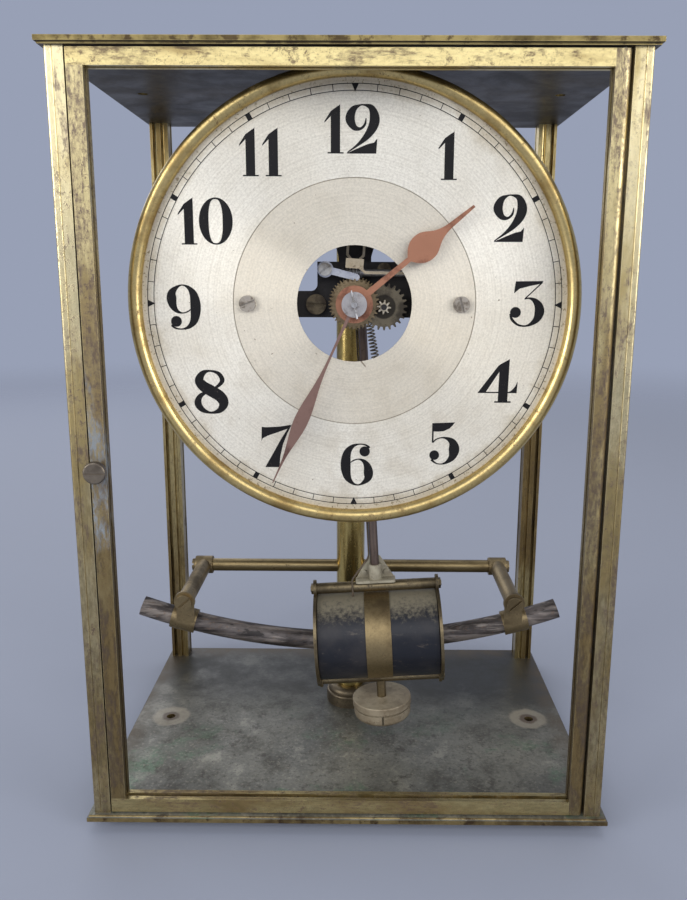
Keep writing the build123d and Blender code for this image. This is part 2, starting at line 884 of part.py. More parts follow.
strap_face = facing(0, arm_front_y - strap_thickness, bar_z)
strap_screws = slotted_screws(
    strap_face.offset(collar_thickness),
    [(-arm_x, 0), (arm_x, 0)],
    arm_screw_head,
    arm_screw_height,
    arm_screw_shank,
    collar_thickness + strap_thickness + arm_screw_grip - screw_end_clearance,
    slot_angle=42,
)
with BuildPart() as strap_collars:
    with BuildSketch(strap_face):
        with Locations((-arm_x, 0), (arm_x, 0)):
            Circle(collar_radius)
            Circle(arm_screw_shank + fixed_clearance, mode=Mode.SUBTRACT)
    extrude(amount=collar_thickness)
end_screws = []
for side in (-1, 1):
    end_plane = Plane(
        origin=(side * (arm_x + knuckle_radius), column_y, bar_z),
        x_dir=(0, 1, 0),
        z_dir=(side, 0, 0),
    )
    end_screws.append(
        slotted_screws(
            end_plane,
            [(0, 0)],
            arm_screw_head - 0.6,
            arm_screw_height - 0.5,
            arm_screw_shank,
            2 * knuckle_radius,
        )
    )
arm_screw_solids = [*strap_screws.solids(), *strap_collars.solids()]
for screw in end_screws:
    arm_screw_solids.extend(screw.solids())
pieces["magnet_arm_screws"] = Compound(arm_screw_solids)


# Head bracket, which clamps the column's top and carries the movement and the pendulum
bracket_top_z = deck + bracket_top
arm_under_z = bracket_top_z - bracket_arm_height
bracket_front_y = plate_back_y
window_z = pivot_z - impulse_drop
bracket_screw_places = [
    (-bracket_screw_x, bracket_screw_height),
    (bracket_screw_x, bracket_screw_height),
]
with BuildPart() as head_bracket:
    with BuildSketch(level(bracket_top_z)):
        with Locations((0, column_y)):
            Circle(bracket_ring_radius)
    extrude(amount=-bracket_ring_height)
    with BuildSketch(level(bracket_top_z)):
        with Locations((movement_x, (column_y + bracket_front_y) / 2)):
            Rectangle(bracket_arm_width, column_y - bracket_front_y)
    extrude(amount=-bracket_arm_height)
    with BuildSketch(facing(movement_x, bracket_back_y, deck)):
        Polygon(
            (-bracket_wide / 2, bracket_top),
            (bracket_wide / 2, bracket_top),
            (bracket_narrow / 2, bracket_neck),
            (bracket_narrow / 2, bracket_foot),
            (-bracket_narrow / 2, bracket_foot),
            (-bracket_narrow / 2, bracket_neck),
            align=None,
        )
    extrude(amount=bracket_thickness)
    with BuildSketch(level(bracket_top_z)):
        with Locations((0, column_y)):
            Circle(column_radius + fixed_clearance)
    extrude(amount=-bracket_ring_height, mode=Mode.SUBTRACT)
    with BuildSketch(facing(movement_x, bracket_front_y, window_z)):
        Rectangle(window_width, window_height)
    extrude(amount=-bracket_thickness, mode=Mode.SUBTRACT)
    with BuildSketch(facing(movement_x, bracket_front_y, dial_z)):
        with Locations((0, fork_height)):
            Circle(fork_spindle_radius + running_clearance)
        with Locations(*bracket_screw_places):
            Circle(movement_screw_shank + fixed_clearance)
    extrude(amount=-bracket_thickness, mode=Mode.SUBTRACT)
pieces["head_bracket"] = head_bracket.part

# Suspension block under the bracket's arm
with BuildPart() as suspension_block:
    block_top = arm_under_z
    block_low = pivot_z - block_drop
    block_depth = block_gap + 2 * block_cheek
    with BuildSketch(level(block_low)):
        with Locations((movement_x, pendulum_y)):
            Rectangle(block_width, block_depth)
    extrude(amount=block_top - block_low)
    with BuildSketch(level(block_low)):
        with Locations((movement_x, pendulum_y)):
            Rectangle(block_width, block_gap)
    extrude(amount=block_drop + leaf_eye_radius + 0.6, mode=Mode.SUBTRACT)
    with BuildSketch(facing(movement_x, pendulum_y, pivot_z)):
        Circle(pivot_pin_radius + running_clearance)
    extrude(amount=block_depth, both=True, mode=Mode.SUBTRACT)
pieces["suspension_block"] = suspension_block.part

# Blackened movement plate with the arms that carry the dial
plate_front = facing(movement_x, plate_y, dial_z)
cock_reach = plate_y - worm_y + worm_shaft_radius + worm_cock_wall
worm_rise = worm_z - dial_z
click_hole = (click_pivot_x, click_pivot_z)
boss_place = (-plate_left - 0.4, -0.5)
top_screw_place = (10.7, 12.1)
with BuildPart() as movement_plate:
    with BuildSketch(plate_front):
        Polygon(
            (-plate_left, plate_top),
            (-plate_left, arm_top),
            (-arm_reach, arm_top),
            (-arm_reach, -plate_bottom),
            (arm_reach, -plate_bottom),
            (arm_reach, arm_top),
            (plate_right, arm_top),
            (plate_right, plate_top),
            align=None,
        )
    extrude(amount=-movement_plate_thickness)
    corners = movement_plate.edges().filter_by(Axis.Y)
    inner = corners.sort_by_distance((movement_x - plate_left, plate_y, dial_z + arm_top))[:1]
    fillet(inner, radius=plate_inner_fillet)
    corners = movement_plate.edges().filter_by(Axis.Y)
    inner = corners.sort_by_distance((movement_x + plate_right, plate_y, dial_z + arm_top))[:1]
    fillet(inner, radius=plate_inner_fillet / 2)
    with BuildSketch(plate_front):
        for left in (-worm_left - worm_cock_width, worm_right - worm_cock_width):
            with Locations((left + worm_cock_width / 2, worm_rise)):
                Rectangle(worm_cock_width, worm_cock_height)
    extrude(amount=cock_reach)
    with BuildSketch(Plane.YZ.offset(movement_x)):
        with Locations((worm_y, worm_z)):
            Circle(worm_shaft_radius + running_clearance)
    extrude(amount=plate_right, both=True, mode=Mode.SUBTRACT)
    with BuildSketch(plate_front):
        with Locations((0, 0)):
            Circle(arbor_radius + running_clearance)
        with Locations((0, fork_height)):
            Circle(fork_notch_radius)
        with Locations((0, fork_height + fork_notch_radius)):
            Rectangle(2 * fork_notch_radius, 2 * fork_notch_radius)
        with Locations(click_hole, top_screw_place, boss_place, *bracket_screw_places):
            Circle(movement_screw_shank + fixed_clearance)
        with Locations((-dial_screw_spacing / 2, 0), (dial_screw_spacing / 2, 0)):
            Circle(dial_screw_shank + fixed_clearance)
    extrude(amount=-movement_plate_thickness, mode=Mode.SUBTRACT)
    with BuildSketch(facing(minute_wheel_x, plate_y, minute_wheel_z)):
        Circle(arbor_radius)
    stud_length = minute_wheel_stand + minute_wheel_thickness + pinion_leaf + 0.4
    extrude(amount=stud_length)
pieces["movement_plate"] = movement_plate.part

top_screw = slotted_screws(
    plate_front,
    [top_screw_place, *bracket_screw_places],
    movement_screw_head,
    movement_screw_height,
    movement_screw_shank,
    movement_plate_thickness,
)
boss_screw = slotted_screws(
    plate_front,
    [boss_place],
    boss_screw_head,
    movement_screw_height + 0.6,
    movement_screw_shank,
    movement_plate_thickness,
    slot_angle=0,
)
click_screw = slotted_screws(
    plate_front.offset(click_stand + click_thickness + running_clearance),
    [click_hole],
    click_screw_head,
    movement_screw_height,
    movement_screw_shank,
    click_stand + click_thickness + movement_plate_thickness,
    slot_angle=35,
)
with BuildPart() as movement_screws:
    add(top_screw)
    add(boss_screw)
    add(click_screw)
pieces["movement_screws"] = movement_screws.part


# Dial, its bezel, spacers and screws
dial_front = facing(movement_x, dial_y, dial_z)
dial_screw_places = [(-dial_screw_spacing / 2, 0), (dial_screw_spacing / 2, 0)]
with BuildPart() as dial_plate:
    with BuildSketch(dial_front):
        Circle(bezel_radius - bezel_lap)
        Circle(dial_hole_radius, mode=Mode.SUBTRACT)
        with Locations(*dial_screw_places):
            Circle(dial_screw_shank + fixed_clearance, mode=Mode.SUBTRACT)
    extrude(amount=-dial_thickness)
    with BuildSketch(dial_front):
        Circle(inner_ring_radius + engraving_width / 2)
        Circle(inner_ring_radius - engraving_width / 2, mode=Mode.SUBTRACT)
    extrude(amount=-engraving_depth, mode=Mode.SUBTRACT)
pieces["dial_plate"] = dial_plate.part

with BuildPart() as bezel:
    inner_r = bezel_radius - bezel_width
    seat_r = bezel_radius - bezel_lap + fixed_clearance
    with BuildSketch(Plane(origin=(movement_x, dial_y, dial_z), x_dir=(1, 0, 0), z_dir=(0, 0, 1))):
        with BuildLine():
            ThreePointArc(
                (inner_r, 0), ((inner_r + bezel_radius) / 2, -bezel_front), (bezel_radius, 0)
            )
            Polyline(
                (bezel_radius, 0),
                (bezel_radius, dial_thickness + bezel_back),
                (seat_r, dial_thickness + bezel_back),
                (seat_r, 0),
                (inner_r, 0),
            )
        make_face()
    revolve(axis=Axis((movement_x, 0, dial_z), (0, -1, 0)))
pieces["bezel"] = bezel.part

spacer_length = plate_y - dial_y - dial_thickness
with BuildPart() as dial_spacers:
    with BuildSketch(plate_front):
        with Locations(*dial_screw_places):
            Circle(dial_spacer_radius)
            Circle(dial_screw_shank + fixed_clearance, mode=Mode.SUBTRACT)
    extrude(amount=spacer_length)
pieces["dial_spacers"] = dial_spacers.part
dial_screw_solids = []
for place, turn in zip(dial_screw_places, dial_slot_turns):
    dial_screw = slotted_screws(
        dial_front,
        [place],
        dial_screw_head,
        dial_screw_height,
        dial_screw_shank,
        dial_thickness + spacer_length + movement_plate_thickness,
        slot_angle=turn,
    )
    dial_screw_solids.extend(dial_screw.solids())
pieces["dial_screws"] = Compound(dial_screw_solids)


# Centre arbor with the cannon leaves, and the wheel that the worm drives
cannon_plane = plate_front.offset(cannon_stand)
cannon_leaves = gear(
    cannon_plane, cannon_teeth, minute_module, wheel_angle, cannon_leaf, arbor_radius / 2
)
cannon_pipe_start = cannon_stand + cannon_leaf
cannon_pipe_end = plate_y - cannon_end_y
with BuildPart() as centre_arbor:
    with BuildSketch(plate_front.offset(-movement_plate_thickness)):
        Circle(arbor_radius)
    extrude(amount=movement_plate_thickness + cannon_pipe_end + collet_thickness + arbor_tip)
    add(cannon_leaves)
    with BuildSketch(plate_front.offset(cannon_pipe_start)):
        Circle(cannon_pipe_radius)
    extrude(amount=cannon_pipe_end - cannon_pipe_start)
pieces["centre_arbor"] = centre_arbor.part


def drive_outline():
    """Points of the fine-toothed drive wheel with a gap at the top for the worm."""
    step = 360 / drive_teeth
    points = []
    for tooth in range(drive_teeth):
        for radius, share in (
            (drive_tip_radius - drive_tooth_depth, -0.3),
            (drive_tip_radius, -0.12),
            (drive_tip_radius, 0.12),
            (drive_tip_radius - drive_tooth_depth, 0.3),
        ):
            angle = radians(90 + step * (tooth + 0.5 + share))
            points.append((radius * cos(angle), radius * sin(angle)))
    return points


with BuildPart() as drive_wheel:
    with BuildSketch(plate_front.offset(drive_wheel_stand)):
        Polygon(*drive_outline(), align=None)
    extrude(amount=drive_wheel_thickness)
    with BuildSketch(plate_front.offset(running_clearance)):
        Circle(2.6 * arbor_radius)
    extrude(amount=drive_wheel_stand)
    with BuildSketch(plate_front):
        Circle(arbor_radius + fixed_clearance)
    extrude(amount=cannon_stand, mode=Mode.SUBTRACT)
pieces["drive_wheel"] = drive_wheel.part

# Motion work
with BuildPart() as minute_wheel:
    wheel_front = facing(minute_wheel_x, plate_y, minute_wheel_z)
    wheel_tooth_at = wheel_angle + 180 + 180 / minute_wheel_teeth
    with BuildSketch(wheel_front.offset(minute_wheel_stand)):
        Polygon(
            *gear_outline(minute_wheel_teeth, minute_module, wheel_tooth_at), align=None
        )
    extrude(amount=minute_wheel_thickness)
    with BuildSketch(wheel_front.offset(minute_wheel_stand + minute_wheel_thickness)):
        Polygon(*gear_outline(pinion_teeth, hour_module, wheel_angle + 180), align=None)
    extrude(amount=pinion_leaf)
    with BuildSketch(wheel_front):
        Circle(arbor_radius + running_clearance)
    extrude(amount=2 * cannon_stand + pinion_leaf, mode=Mode.SUBTRACT)
pieces["minute_wheel"] = minute_wheel.part

with BuildPart() as hour_wheel:
    with BuildSketch(plate_front.offset(hour_wheel_stand)):
        hour_tooth_at = wheel_angle + 180 / hour_wheel_teeth
        Polygon(*gear_outline(hour_wheel_teeth, hour_module, hour_tooth_at), align=None)
    extrude(amount=hour_wheel_thickness)
    with BuildSketch(plate_front.offset(hour_wheel_stand)):
        Circle(hour_pipe_radius)
    pipe_end = plate_y - hour_hand_y + hand_thickness
    extrude(amount=pipe_end - hour_wheel_stand)
    with BuildSketch(plate_front.offset(hour_wheel_stand)):
        Circle(cannon_pipe_radius + running_clearance)
    extrude(amount=pipe_end, mode=Mode.SUBTRACT)
pieces["hour_wheel"] = hour_wheel.part

# Worm shaft with a right-hand thread and its ratchet wheel. The thread has a turn for each
# tooth of the drive wheel, and one of its crests stands in the wheel's top gap
worm_pitch = 2 * pi * (drive_tip_radius - drive_tooth_depth / 2) / drive_teeth
worm_length = worm_turns * worm_pitch
worm_start = Plane(
    origin=(movement_x - worm_length / 2, worm_y, worm_z), x_dir=(0, 0, 1), z_dir=(1, 0, 0)
)
thread_line = worm_start.location * Helix(worm_pitch, worm_length, worm_shaft_radius)
thread_root = worm_root_share * worm_pitch
thread_crest = worm_crest_share * worm_pitch
thread_height = worm_tip_radius - worm_shaft_radius
with BuildPart() as worm_thread:
    with BuildLine() as thread_path:
        add(thread_line)
    thread_way = thread_path.wires()[0] % 0
    with BuildSketch(Plane(origin=thread_path.wires()[0] @ 0, x_dir=(0, 0, 1), z_dir=thread_way)):
        Polygon(
            (-worm_thread_sink, -thread_root),
            (0, -thread_root),
            (thread_height, -thread_crest),
            (thread_height, thread_crest),
            (0, thread_root),
            (-worm_thread_sink, thread_root),
            align=None,
        )
    sweep(is_frenet=True)

thread_blank = worm_thread.part
with BuildPart() as worm_shaft:
    with BuildSketch(Plane.YZ.offset(movement_x - worm_left - worm_cock_width)):
        with Locations((worm_y, worm_z)):
            Circle(worm_shaft_radius)
    shaft_right = plate_right + ratchet_gap + ratchet_thickness + ratchet_gap
    extrude(amount=worm_left + worm_cock_width + shaft_right)
    add(thread_blank)
    with BuildSketch(Plane.YZ.offset(movement_x + plate_right + ratchet_gap)):
        with Locations((worm_y, worm_z)):
            ratchet_points = []
            for tooth in range(ratchet_teeth):
                start = 2 * pi * tooth / ratchet_teeth
                low = ratchet_radius - ratchet_tooth_depth
                ratchet_points.append((low * cos(start), low * sin(start)))
                ratchet_points.append((ratchet_radius * cos(start), ratchet_radius * sin(start)))
            Polygon(*ratchet_points, align=None)
    extrude(amount=ratchet_thickness)
pieces["worm_shaft"] = worm_shaft.part


# Hands, drawn along their own line: x runs from the hub to the tip
def hand_plane(y, clock_angle):
    return facing(movement_x, y, dial_z, lean=90 - clock_angle)


with BuildPart() as hour_hand:
    with BuildSketch(hand_plane(hour_hand_y, hour_angle)):
        with BuildLine():
            Line((0, hour_shaft_width / 2), (hour_neck, hour_neck_width / 2))
            Spline(
                (hour_neck, hour_neck_width / 2),
                (hour_belly, hour_belly_width / 2),
                (hour_throat, hour_throat_width / 2),
                tangents=((0.55, 0.85), (1, 0), (1, -0.08)),
            )
            Polyline(
                (hour_throat, hour_throat_width / 2),
                (hour_hand_length, hour_tip_width / 2),
                (hour_hand_length, 0),
            )
            mirror(about=Plane.XZ)
            Line((0, hour_shaft_width / 2), (0, -hour_shaft_width / 2))
        make_face()
        Circle(hour_hub_radius)
        Circle(hour_pipe_radius + fixed_clearance, mode=Mode.SUBTRACT)
    extrude(amount=hand_thickness)
pieces["hour_hand"] = hour_hand.part

with BuildPart() as minute_hand:
    with BuildSketch(hand_plane(minute_hand_y, minute_angle)):
        with BuildLine():
            half = (
                (0, minute_root_width / 2),
                (minute_neck, minute_shaft_width / 2),
                (minute_belly, minute_belly_width / 2),
                (minute_throat, minute_throat_width / 2),
                (minute_hand_length, minute_tip_width / 2),
            )
            Spline(*half, tangents=((1, 0.02), (1, -0.04)))
            Line(half[-1], (minute_hand_length, 0))
            mirror(about=Plane.XZ)
            Line((0, minute_root_width / 2), (0, -minute_root_width / 2))
        make_face()
        Circle(minute_hub_radius)
        Circle(cannon_pipe_radius + fixed_clearance, mode=Mode.SUBTRACT)
    extrude(amount=hand_thickness)
pieces["minute_hand"] = minute_hand.part

collet_plane = facing(movement_x, cannon_end_y, dial_z)
pieces["hand_collet"] = disc(
    collet_plane, collet_radius, collet_thickness, arbor_radius + fixed_clearance
)
pin_plane = hand_plane(
    cannon_end_y - collet_thickness - 2 * taper_pin_radius, taper_pin_angle
)
with BuildPart() as taper_pin:
    pin_start = pin_plane.from_local_coords((-taper_pin_length / 2, 0, 0))
    with BuildSketch(Plane(origin=pin_start, z_dir=pin_plane.x_dir)):
        Circle(taper_pin_radius * 0.7)
    extrude(amount=taper_pin_length, taper=-taper_pin_slope)
pieces["taper_pin"] = taper_pin.part
pin_blank = taper_pin.part
with BuildPart() as pinned_arbor:
    add(centre_arbor.part)
    add(pin_blank, mode=Mode.SUBTRACT)
pieces["centre_arbor"] = pinned_arbor.part


# Contact fork: the pendulum's roller plays between its prongs
fork_front = facing(movement_x, plate_y, fork_z, lean=fork_lean)
with BuildPart() as contact_fork:
    with BuildSketch(fork_front.offset(-movement_plate_thickness - bracket_thickness + 0.5)):
        Circle(fork_spindle_radius)
    extrude(amount=movement_plate_thickness + bracket_thickness + fork_arm_stand)
    with BuildSketch(fork_front.offset(fork_hub_stand)):
        Circle(fork_hub_radius)
    extrude(amount=fork_hub_length)
    prong_x = (fork_prong_gap + fork_prong_width) / 2
    with BuildSketch(fork_front.offset(fork_prong_stand)):
        for side in (-1, 1):
            Polygon(
                (side * -0.5 * fork_prong_width, 0),
                (side * 0.5 * fork_prong_width, 0),
                (side * (prong_x + 0.5 * fork_prong_width), prong_x),
                (side * (prong_x + 0.5 * fork_prong_width), fork_prong_reach),
                (side * (prong_x - 0.5 * fork_prong_width), fork_prong_reach),
                (side * (prong_x - 0.5 * fork_prong_width), prong_x + 0.4),
                align=None,
            )
    extrude(amount=fork_thickness)
    fork_arm_drop = fork_z - worm_z
    with BuildSketch(fork_front.offset(fork_arm_stand)):
        with Locations((0, 0)):
            Rectangle(fork_block_width, fork_block_height)
        Polygon(
            (0, -fork_arm_width / 2),
            (0, fork_arm_width / 2),
            (4, fork_arm_width / 2 - fork_arm_drop + 0.3),
            (fork_arm_reach, fork_arm_width / 2 - fork_arm_drop + 1.4),
            (fork_arm_reach, -fork_arm_width / 2 - fork_arm_drop + 1.4),
            (4, -fork_arm_width / 2 - fork_arm_drop + 0.3),
            align=None,
        )
    extrude(amount=fork_thickness)
pieces["contact_fork"] = contact_fork.part

# Click: the bright lever that lies on the drive wheel's rim
with BuildPart() as click_lever:
    with BuildSketch(plate_front.offset(click_stand)):
        with Locations(click_hole):
            Circle(click_eye_radius)
        with Locations((click_tip_x, click_tip_z)):
            Circle(click_tip_width / 2)
        run = (click_tip_x - click_pivot_x, click_tip_z - click_pivot_z)
        length = hypot(*run)
        across_x = -run[1] / length
        across_z = run[0] / length
        Polygon(
            (
                click_pivot_x + across_x * click_root_width / 2,
                click_pivot_z + across_z * click_root_width / 2,
            ),
            (
                click_tip_x + across_x * click_tip_width / 2,
                click_tip_z + across_z * click_tip_width / 2,
            ),
            (
                click_tip_x - across_x * click_tip_width / 2,
                click_tip_z - across_z * click_tip_width / 2,
            ),
            (
                click_pivot_x - across_x * click_root_width / 2,
                click_pivot_z - across_z * click_root_width / 2,
            ),
            align=None,
        )
        with Locations(click_hole):
            Circle(movement_screw_shank + running_clearance, mode=Mode.SUBTRACT)
    extrude(amount=click_thickness)
pieces["click_lever"] = click_lever.part


# Contact spring and the two collars on the column that hold it
spring_y = mid_y + spring_set_back
spring_top = Vector(spring_top_x, spring_y, dial_z - spring_top_drop)
spring_low = Vector(spring_low_x, spring_y, dial_z - spring_low_drop)
spring_line = (spring_low - spring_top).normalized()
spring_length = (spring_low - spring_top).length


def spring_collar(end, into):
    """Split collar on the column with a stud, a seat and a peg for the spring's end."""
    reach = hypot(end.X, end.Y - column_y)
    outward = (end.X / reach, (end.Y - column_y) / reach, 0)
    stud_z = end.Z - into.Z * (spring_stud_radius + spring_seat / 2)
    with BuildPart() as collar:
        with BuildSketch(level(stud_z - spring_collar_height / 2)):
            with Locations((0, column_y)):
                Circle(spring_collar_radius)
        extrude(amount=spring_collar_height)
        with BuildSketch(Plane(origin=(0, column_y, stud_z), z_dir=outward)):
            Circle(spring_stud_radius)
        extrude(amount=reach)
        with BuildSketch(level(stud_z - spring_collar_height)):
            with Locations((0, column_y)):
                Circle(column_radius + fixed_clearance)
        extrude(amount=2 * spring_collar_height, mode=Mode.SUBTRACT)
        with BuildSketch(Plane(origin=end, z_dir=into).offset(-spring_seat)):
            Circle(spring_coil_radius + 2 * spring_wire_radius)
        extrude(amount=spring_seat)
        with BuildSketch(Plane(origin=end, z_dir=into)):
            Circle(spring_coil_radius - 2 * spring_wire_radius)
        extrude(amount=spring_peg)
    return collar.part


with BuildPart() as spring_collars:
    add(spring_collar(spring_top, spring_line))
    add(spring_collar(spring_low, spring_line * -1))
pieces["spring_collars"] = spring_collars.part


def biarc_middle(start, start_way, end, end_way):
    """Point where two arcs meet that leave start and reach end along the given ways."""
    chord = end - start
    ways = start_way + end_way
    spread = 2 * (1 - start_way.dot(end_way))
    along = chord.dot(ways)
    reach = (sqrt(along * along + spread * chord.dot(chord)) - along) / spread
    return (start + end + (start_way - end_way) * reach) / 2


spring_frame = Plane(origin=spring_top, z_dir=spring_line)
spring_rise = spring_length - 2 * spring_wire_radius - 0.1
spring_pitch = spring_rise / spring_turns


def spring_point(turn):
    angle = 2 * pi * turn
    return spring_frame.from_local_coords(
        (
            spring_coil_radius * cos(angle),
            spring_coil_radius * sin(angle),
            spring_wire_radius + 0.05 + spring_pitch * turn,
        )
    )


def spring_way(turn):
    angle = 2 * pi * turn
    run = 2 * pi * spring_coil_radius
    way = (
        spring_frame.x_dir * (-sin(angle) * run)
        + spring_frame.y_dir * (cos(angle) * run)
        + spring_frame.z_dir * spring_pitch
    )
    return way.normalized()


with BuildPart() as contact_spring:
    with BuildLine() as spring_path:
        for half_turn in range(2 * spring_turns):
            start = spring_point(half_turn / 2)
            end = spring_point((half_turn + 1) / 2)
            start_way = spring_way(half_turn / 2)
            end_way = spring_way((half_turn + 1) / 2)
            middle = biarc_middle(start, start_way, end, end_way)
            first_arc = TangentArc(start, middle, tangent=start_way)
            TangentArc(middle, end, tangent=first_arc % 1)
    with BuildSketch(Plane(origin=spring_point(0), z_dir=spring_way(0))):
        Circle(spring_wire_radius)
    sweep()
pieces["contact_spring"] = contact_spring.part
print("contact spring: least gap between turns", round(spring_pitch - 2 * spring_wire_radius, 2))


# Pendulum. hang() turns its own right, up and forward sizes into a place in the clock
swing = radians(swing_at_rest)


def hang(x, y, z=0.0):
    return (
        movement_x + x * cos(swing) - y * sin(swing),
        pendulum_y - z,
        pivot_z + x * sin(swing) + y * cos(swing),
    )


def pendulum_face(y, z=0.0):
    """Upright plane of the pendulum, y above the pivot and z in front of its middle."""
    return facing(*hang(0, y, z), lean=swing_at_rest)


def across_rod(y):
    """Plane square to the rod, y above the pivot, facing up it."""
    right = (cos(swing), 0, sin(swing))
    return Plane(origin=hang(0, y), x_dir=right, z_dir=(-sin(swing), 0, cos(swing)))


def along_coil(y, x=0.0):
    """Plane square to the coil's line, with its second axis up the rod."""
    return Plane(origin=hang(x, y), x_dir=(0, 1, 0), z_dir=(cos(swing), 0, sin(swing)))


leaf_end = -clamp_top - leaf_grip
with BuildPart() as suspension_leaf:
    with BuildSketch(pendulum_face(0)):
        Circle(leaf_eye_radius)
    extrude(amount=leaf_width / 2, both=True)
    with BuildSketch(pendulum_face(0)):
        Circle(pivot_pin_radius)
    extrude(amount=block_gap / 2 + block_cheek, both=True)
    with BuildSketch(pendulum_face(leaf_end / 2)):
        Rectangle(leaf_thickness, -leaf_end)
    extrude(amount=leaf_width / 2, both=True)
pieces["suspension_leaf"] = suspension_leaf.part

clamp_low = -clamp_top - clamp_length
with BuildPart() as rod_clamp:
    with BuildSketch(across_rod(clamp_low)):
        Rectangle(clamp_width, clamp_depth)
    extrude(amount=clamp_length)
    with BuildSketch(across_rod(-clamp_top)):
        Rectangle(leaf_thickness + 2 * fixed_clearance, leaf_width + 2 * fixed_clearance)
    extrude(amount=-leaf_grip - fixed_clearance, mode=Mode.SUBTRACT)
    with BuildSketch(across_rod(clamp_low)):
        Circle(rod_radius + fixed_clearance)
    extrude(amount=rod_socket, mode=Mode.SUBTRACT)
    pin_reach = pendulum_y - plate_y + fork_prong_stand - 0.3
    with BuildSketch(pendulum_face(-impulse_drop, clamp_depth / 2)):
        Circle(impulse_pin_radius)
    extrude(amount=pin_reach - clamp_depth / 2)
    with BuildSketch(pendulum_face(-impulse_drop, pin_reach)):
        Circle(impulse_roller_radius)
    extrude(amount=fork_thickness + 0.6)
pieces["rod_clamp"] = rod_clamp.part

coil_y = -coil_distance
flange_y = coil_y + top_bar_offset + top_bar_radius
rod_top = clamp_low + rod_socket
rod_low = flange_y + saddle_thickness
with BuildPart() as pendulum_rod:
    with BuildSketch(across_rod(rod_low)):
        Circle(rod_radius)
    extrude(amount=rod_top - rod_low)
pieces["pendulum_rod"] = pendulum_rod.part

with BuildPart() as saddle_bracket:
    with BuildSketch(pendulum_face(flange_y, -rod_radius)):
        Polygon(
            (-saddle_width / 2, 0),
            (saddle_width / 2, 0),
            (saddle_top_width / 2, saddle_height),
            (-saddle_top_width / 2, saddle_height),
            align=None,
        )
    extrude(amount=-saddle_thickness)
    flange_back = rod_radius + saddle_thickness
    with BuildSketch(across_rod(flange_y)):
        with Locations((0, (flange_back - saddle_lap) / 2)):
            RectangleRounded(saddle_width, flange_back + saddle_lap, 1.2)
    extrude(amount=saddle_thickness)
    with BuildSketch(across_rod(rod_low)):
        Circle(saddle_sleeve_radius)
    extrude(amount=saddle_sleeve_height)
    with BuildSketch(across_rod(rod_low)):
        Circle(rod_radius + fixed_clearance)
    extrude(amount=saddle_height, mode=Mode.SUBTRACT)
    with BuildSketch(pendulum_face(flange_y, -rod_radius)):
        with Locations((-saddle_width / 3.6, 3.4), (saddle_width / 3.6, 3.4)):
            Circle(rivet_radius)
    extrude(amount=rivet_height, taper=18)
pieces["saddle_bracket"] = saddle_bracket.part

# Coil
cheek_inner = coil_length / 2 - cheek_thickness


def cheek_outline():
    Circle(cheek_radius)
    with Locations((0, top_bar_offset)):
        Circle(top_ear_radius)
    with Locations((0, -low_bar_offset)):
        Circle(low_ear_radius)


with BuildPart() as coil_bobbin:
    for side in (-1, 1):
        with BuildSketch(along_coil(coil_y, side * cheek_inner)):
            cheek_outline()
        extrude(amount=side * cheek_thickness)
    with BuildSketch(along_coil(coil_y)):
        Circle(coil_core)
    extrude(amount=cheek_inner, both=True)
    with BuildSketch(along_coil(coil_y)):
        Circle(coil_bore)
        with Locations((0, top_bar_offset), (0, -low_bar_offset)):
            Circle(bar_end_radius + fixed_clearance)
    extrude(amount=coil_length, both=True, mode=Mode.SUBTRACT)
pieces["coil_bobbin"] = coil_bobbin.part

wrap_half = cheek_inner - fixed_clearance
with BuildPart() as coil_winding:
    with BuildSketch(along_coil(coil_y)):
        Circle(coil_wrap_radius)
        Circle(coil_core + fixed_clearance, mode=Mode.SUBTRACT)
    extrude(amount=wrap_half, both=True)
    fillet(coil_winding.edges().filter_by(GeomType.CIRCLE).group_by(SortBy.RADIUS)[-1], 0.4)
pieces["coil_winding"] = coil_winding.part

with BuildPart() as coil_band:
    with BuildSketch(along_coil(coil_y)):
        Circle(coil_wrap_radius + fixed_clearance + band_thickness)
        Circle(coil_wrap_radius + fixed_clearance, mode=Mode.SUBTRACT)
    extrude(amount=band_width / 2, both=True)
pieces["coil_band"] = coil_band.part

bar_end = coil_length / 2 + bar_nut_thickness + 0.3
with BuildPart() as coil_bars:
    for offset, radius in ((top_bar_offset, top_bar_radius), (-low_bar_offset, low_bar_radius)):
        with BuildSketch(along_coil(coil_y + offset)):
            Circle(radius)
        extrude(amount=wrap_half, both=True)
        with BuildSketch(along_coil(coil_y + offset)):
            Circle(bar_end_radius)
        extrude(amount=bar_end, both=True)
        for side in (-1, 1):
            with BuildSketch(along_coil(coil_y + offset, side * coil_length / 2)):
                RegularPolygon(bar_nut_radius, 6)
                Circle(bar_end_radius + fixed_clearance, mode=Mode.SUBTRACT)
            extrude(amount=side * bar_nut_thickness)
pieces["coil_bars"] = coil_bars.part

# Stem and rating nut
low_bar_y = coil_y - low_bar_offset
with BuildPart() as rating_stem:
    with BuildSketch(across_rod(low_bar_y - low_bar_radius / 2)):
        Circle(stem_radius)
    extrude(amount=-(stem_end - low_bar_offset - low_bar_radius / 2))
    with BuildSketch(along_coil(low_bar_y)):
        Circle(low_bar_radius + fixed_clearance)
    extrude(amount=3 * stem_radius, both=True, mode=Mode.SUBTRACT)
pieces["rating_stem"] = rating_stem.part

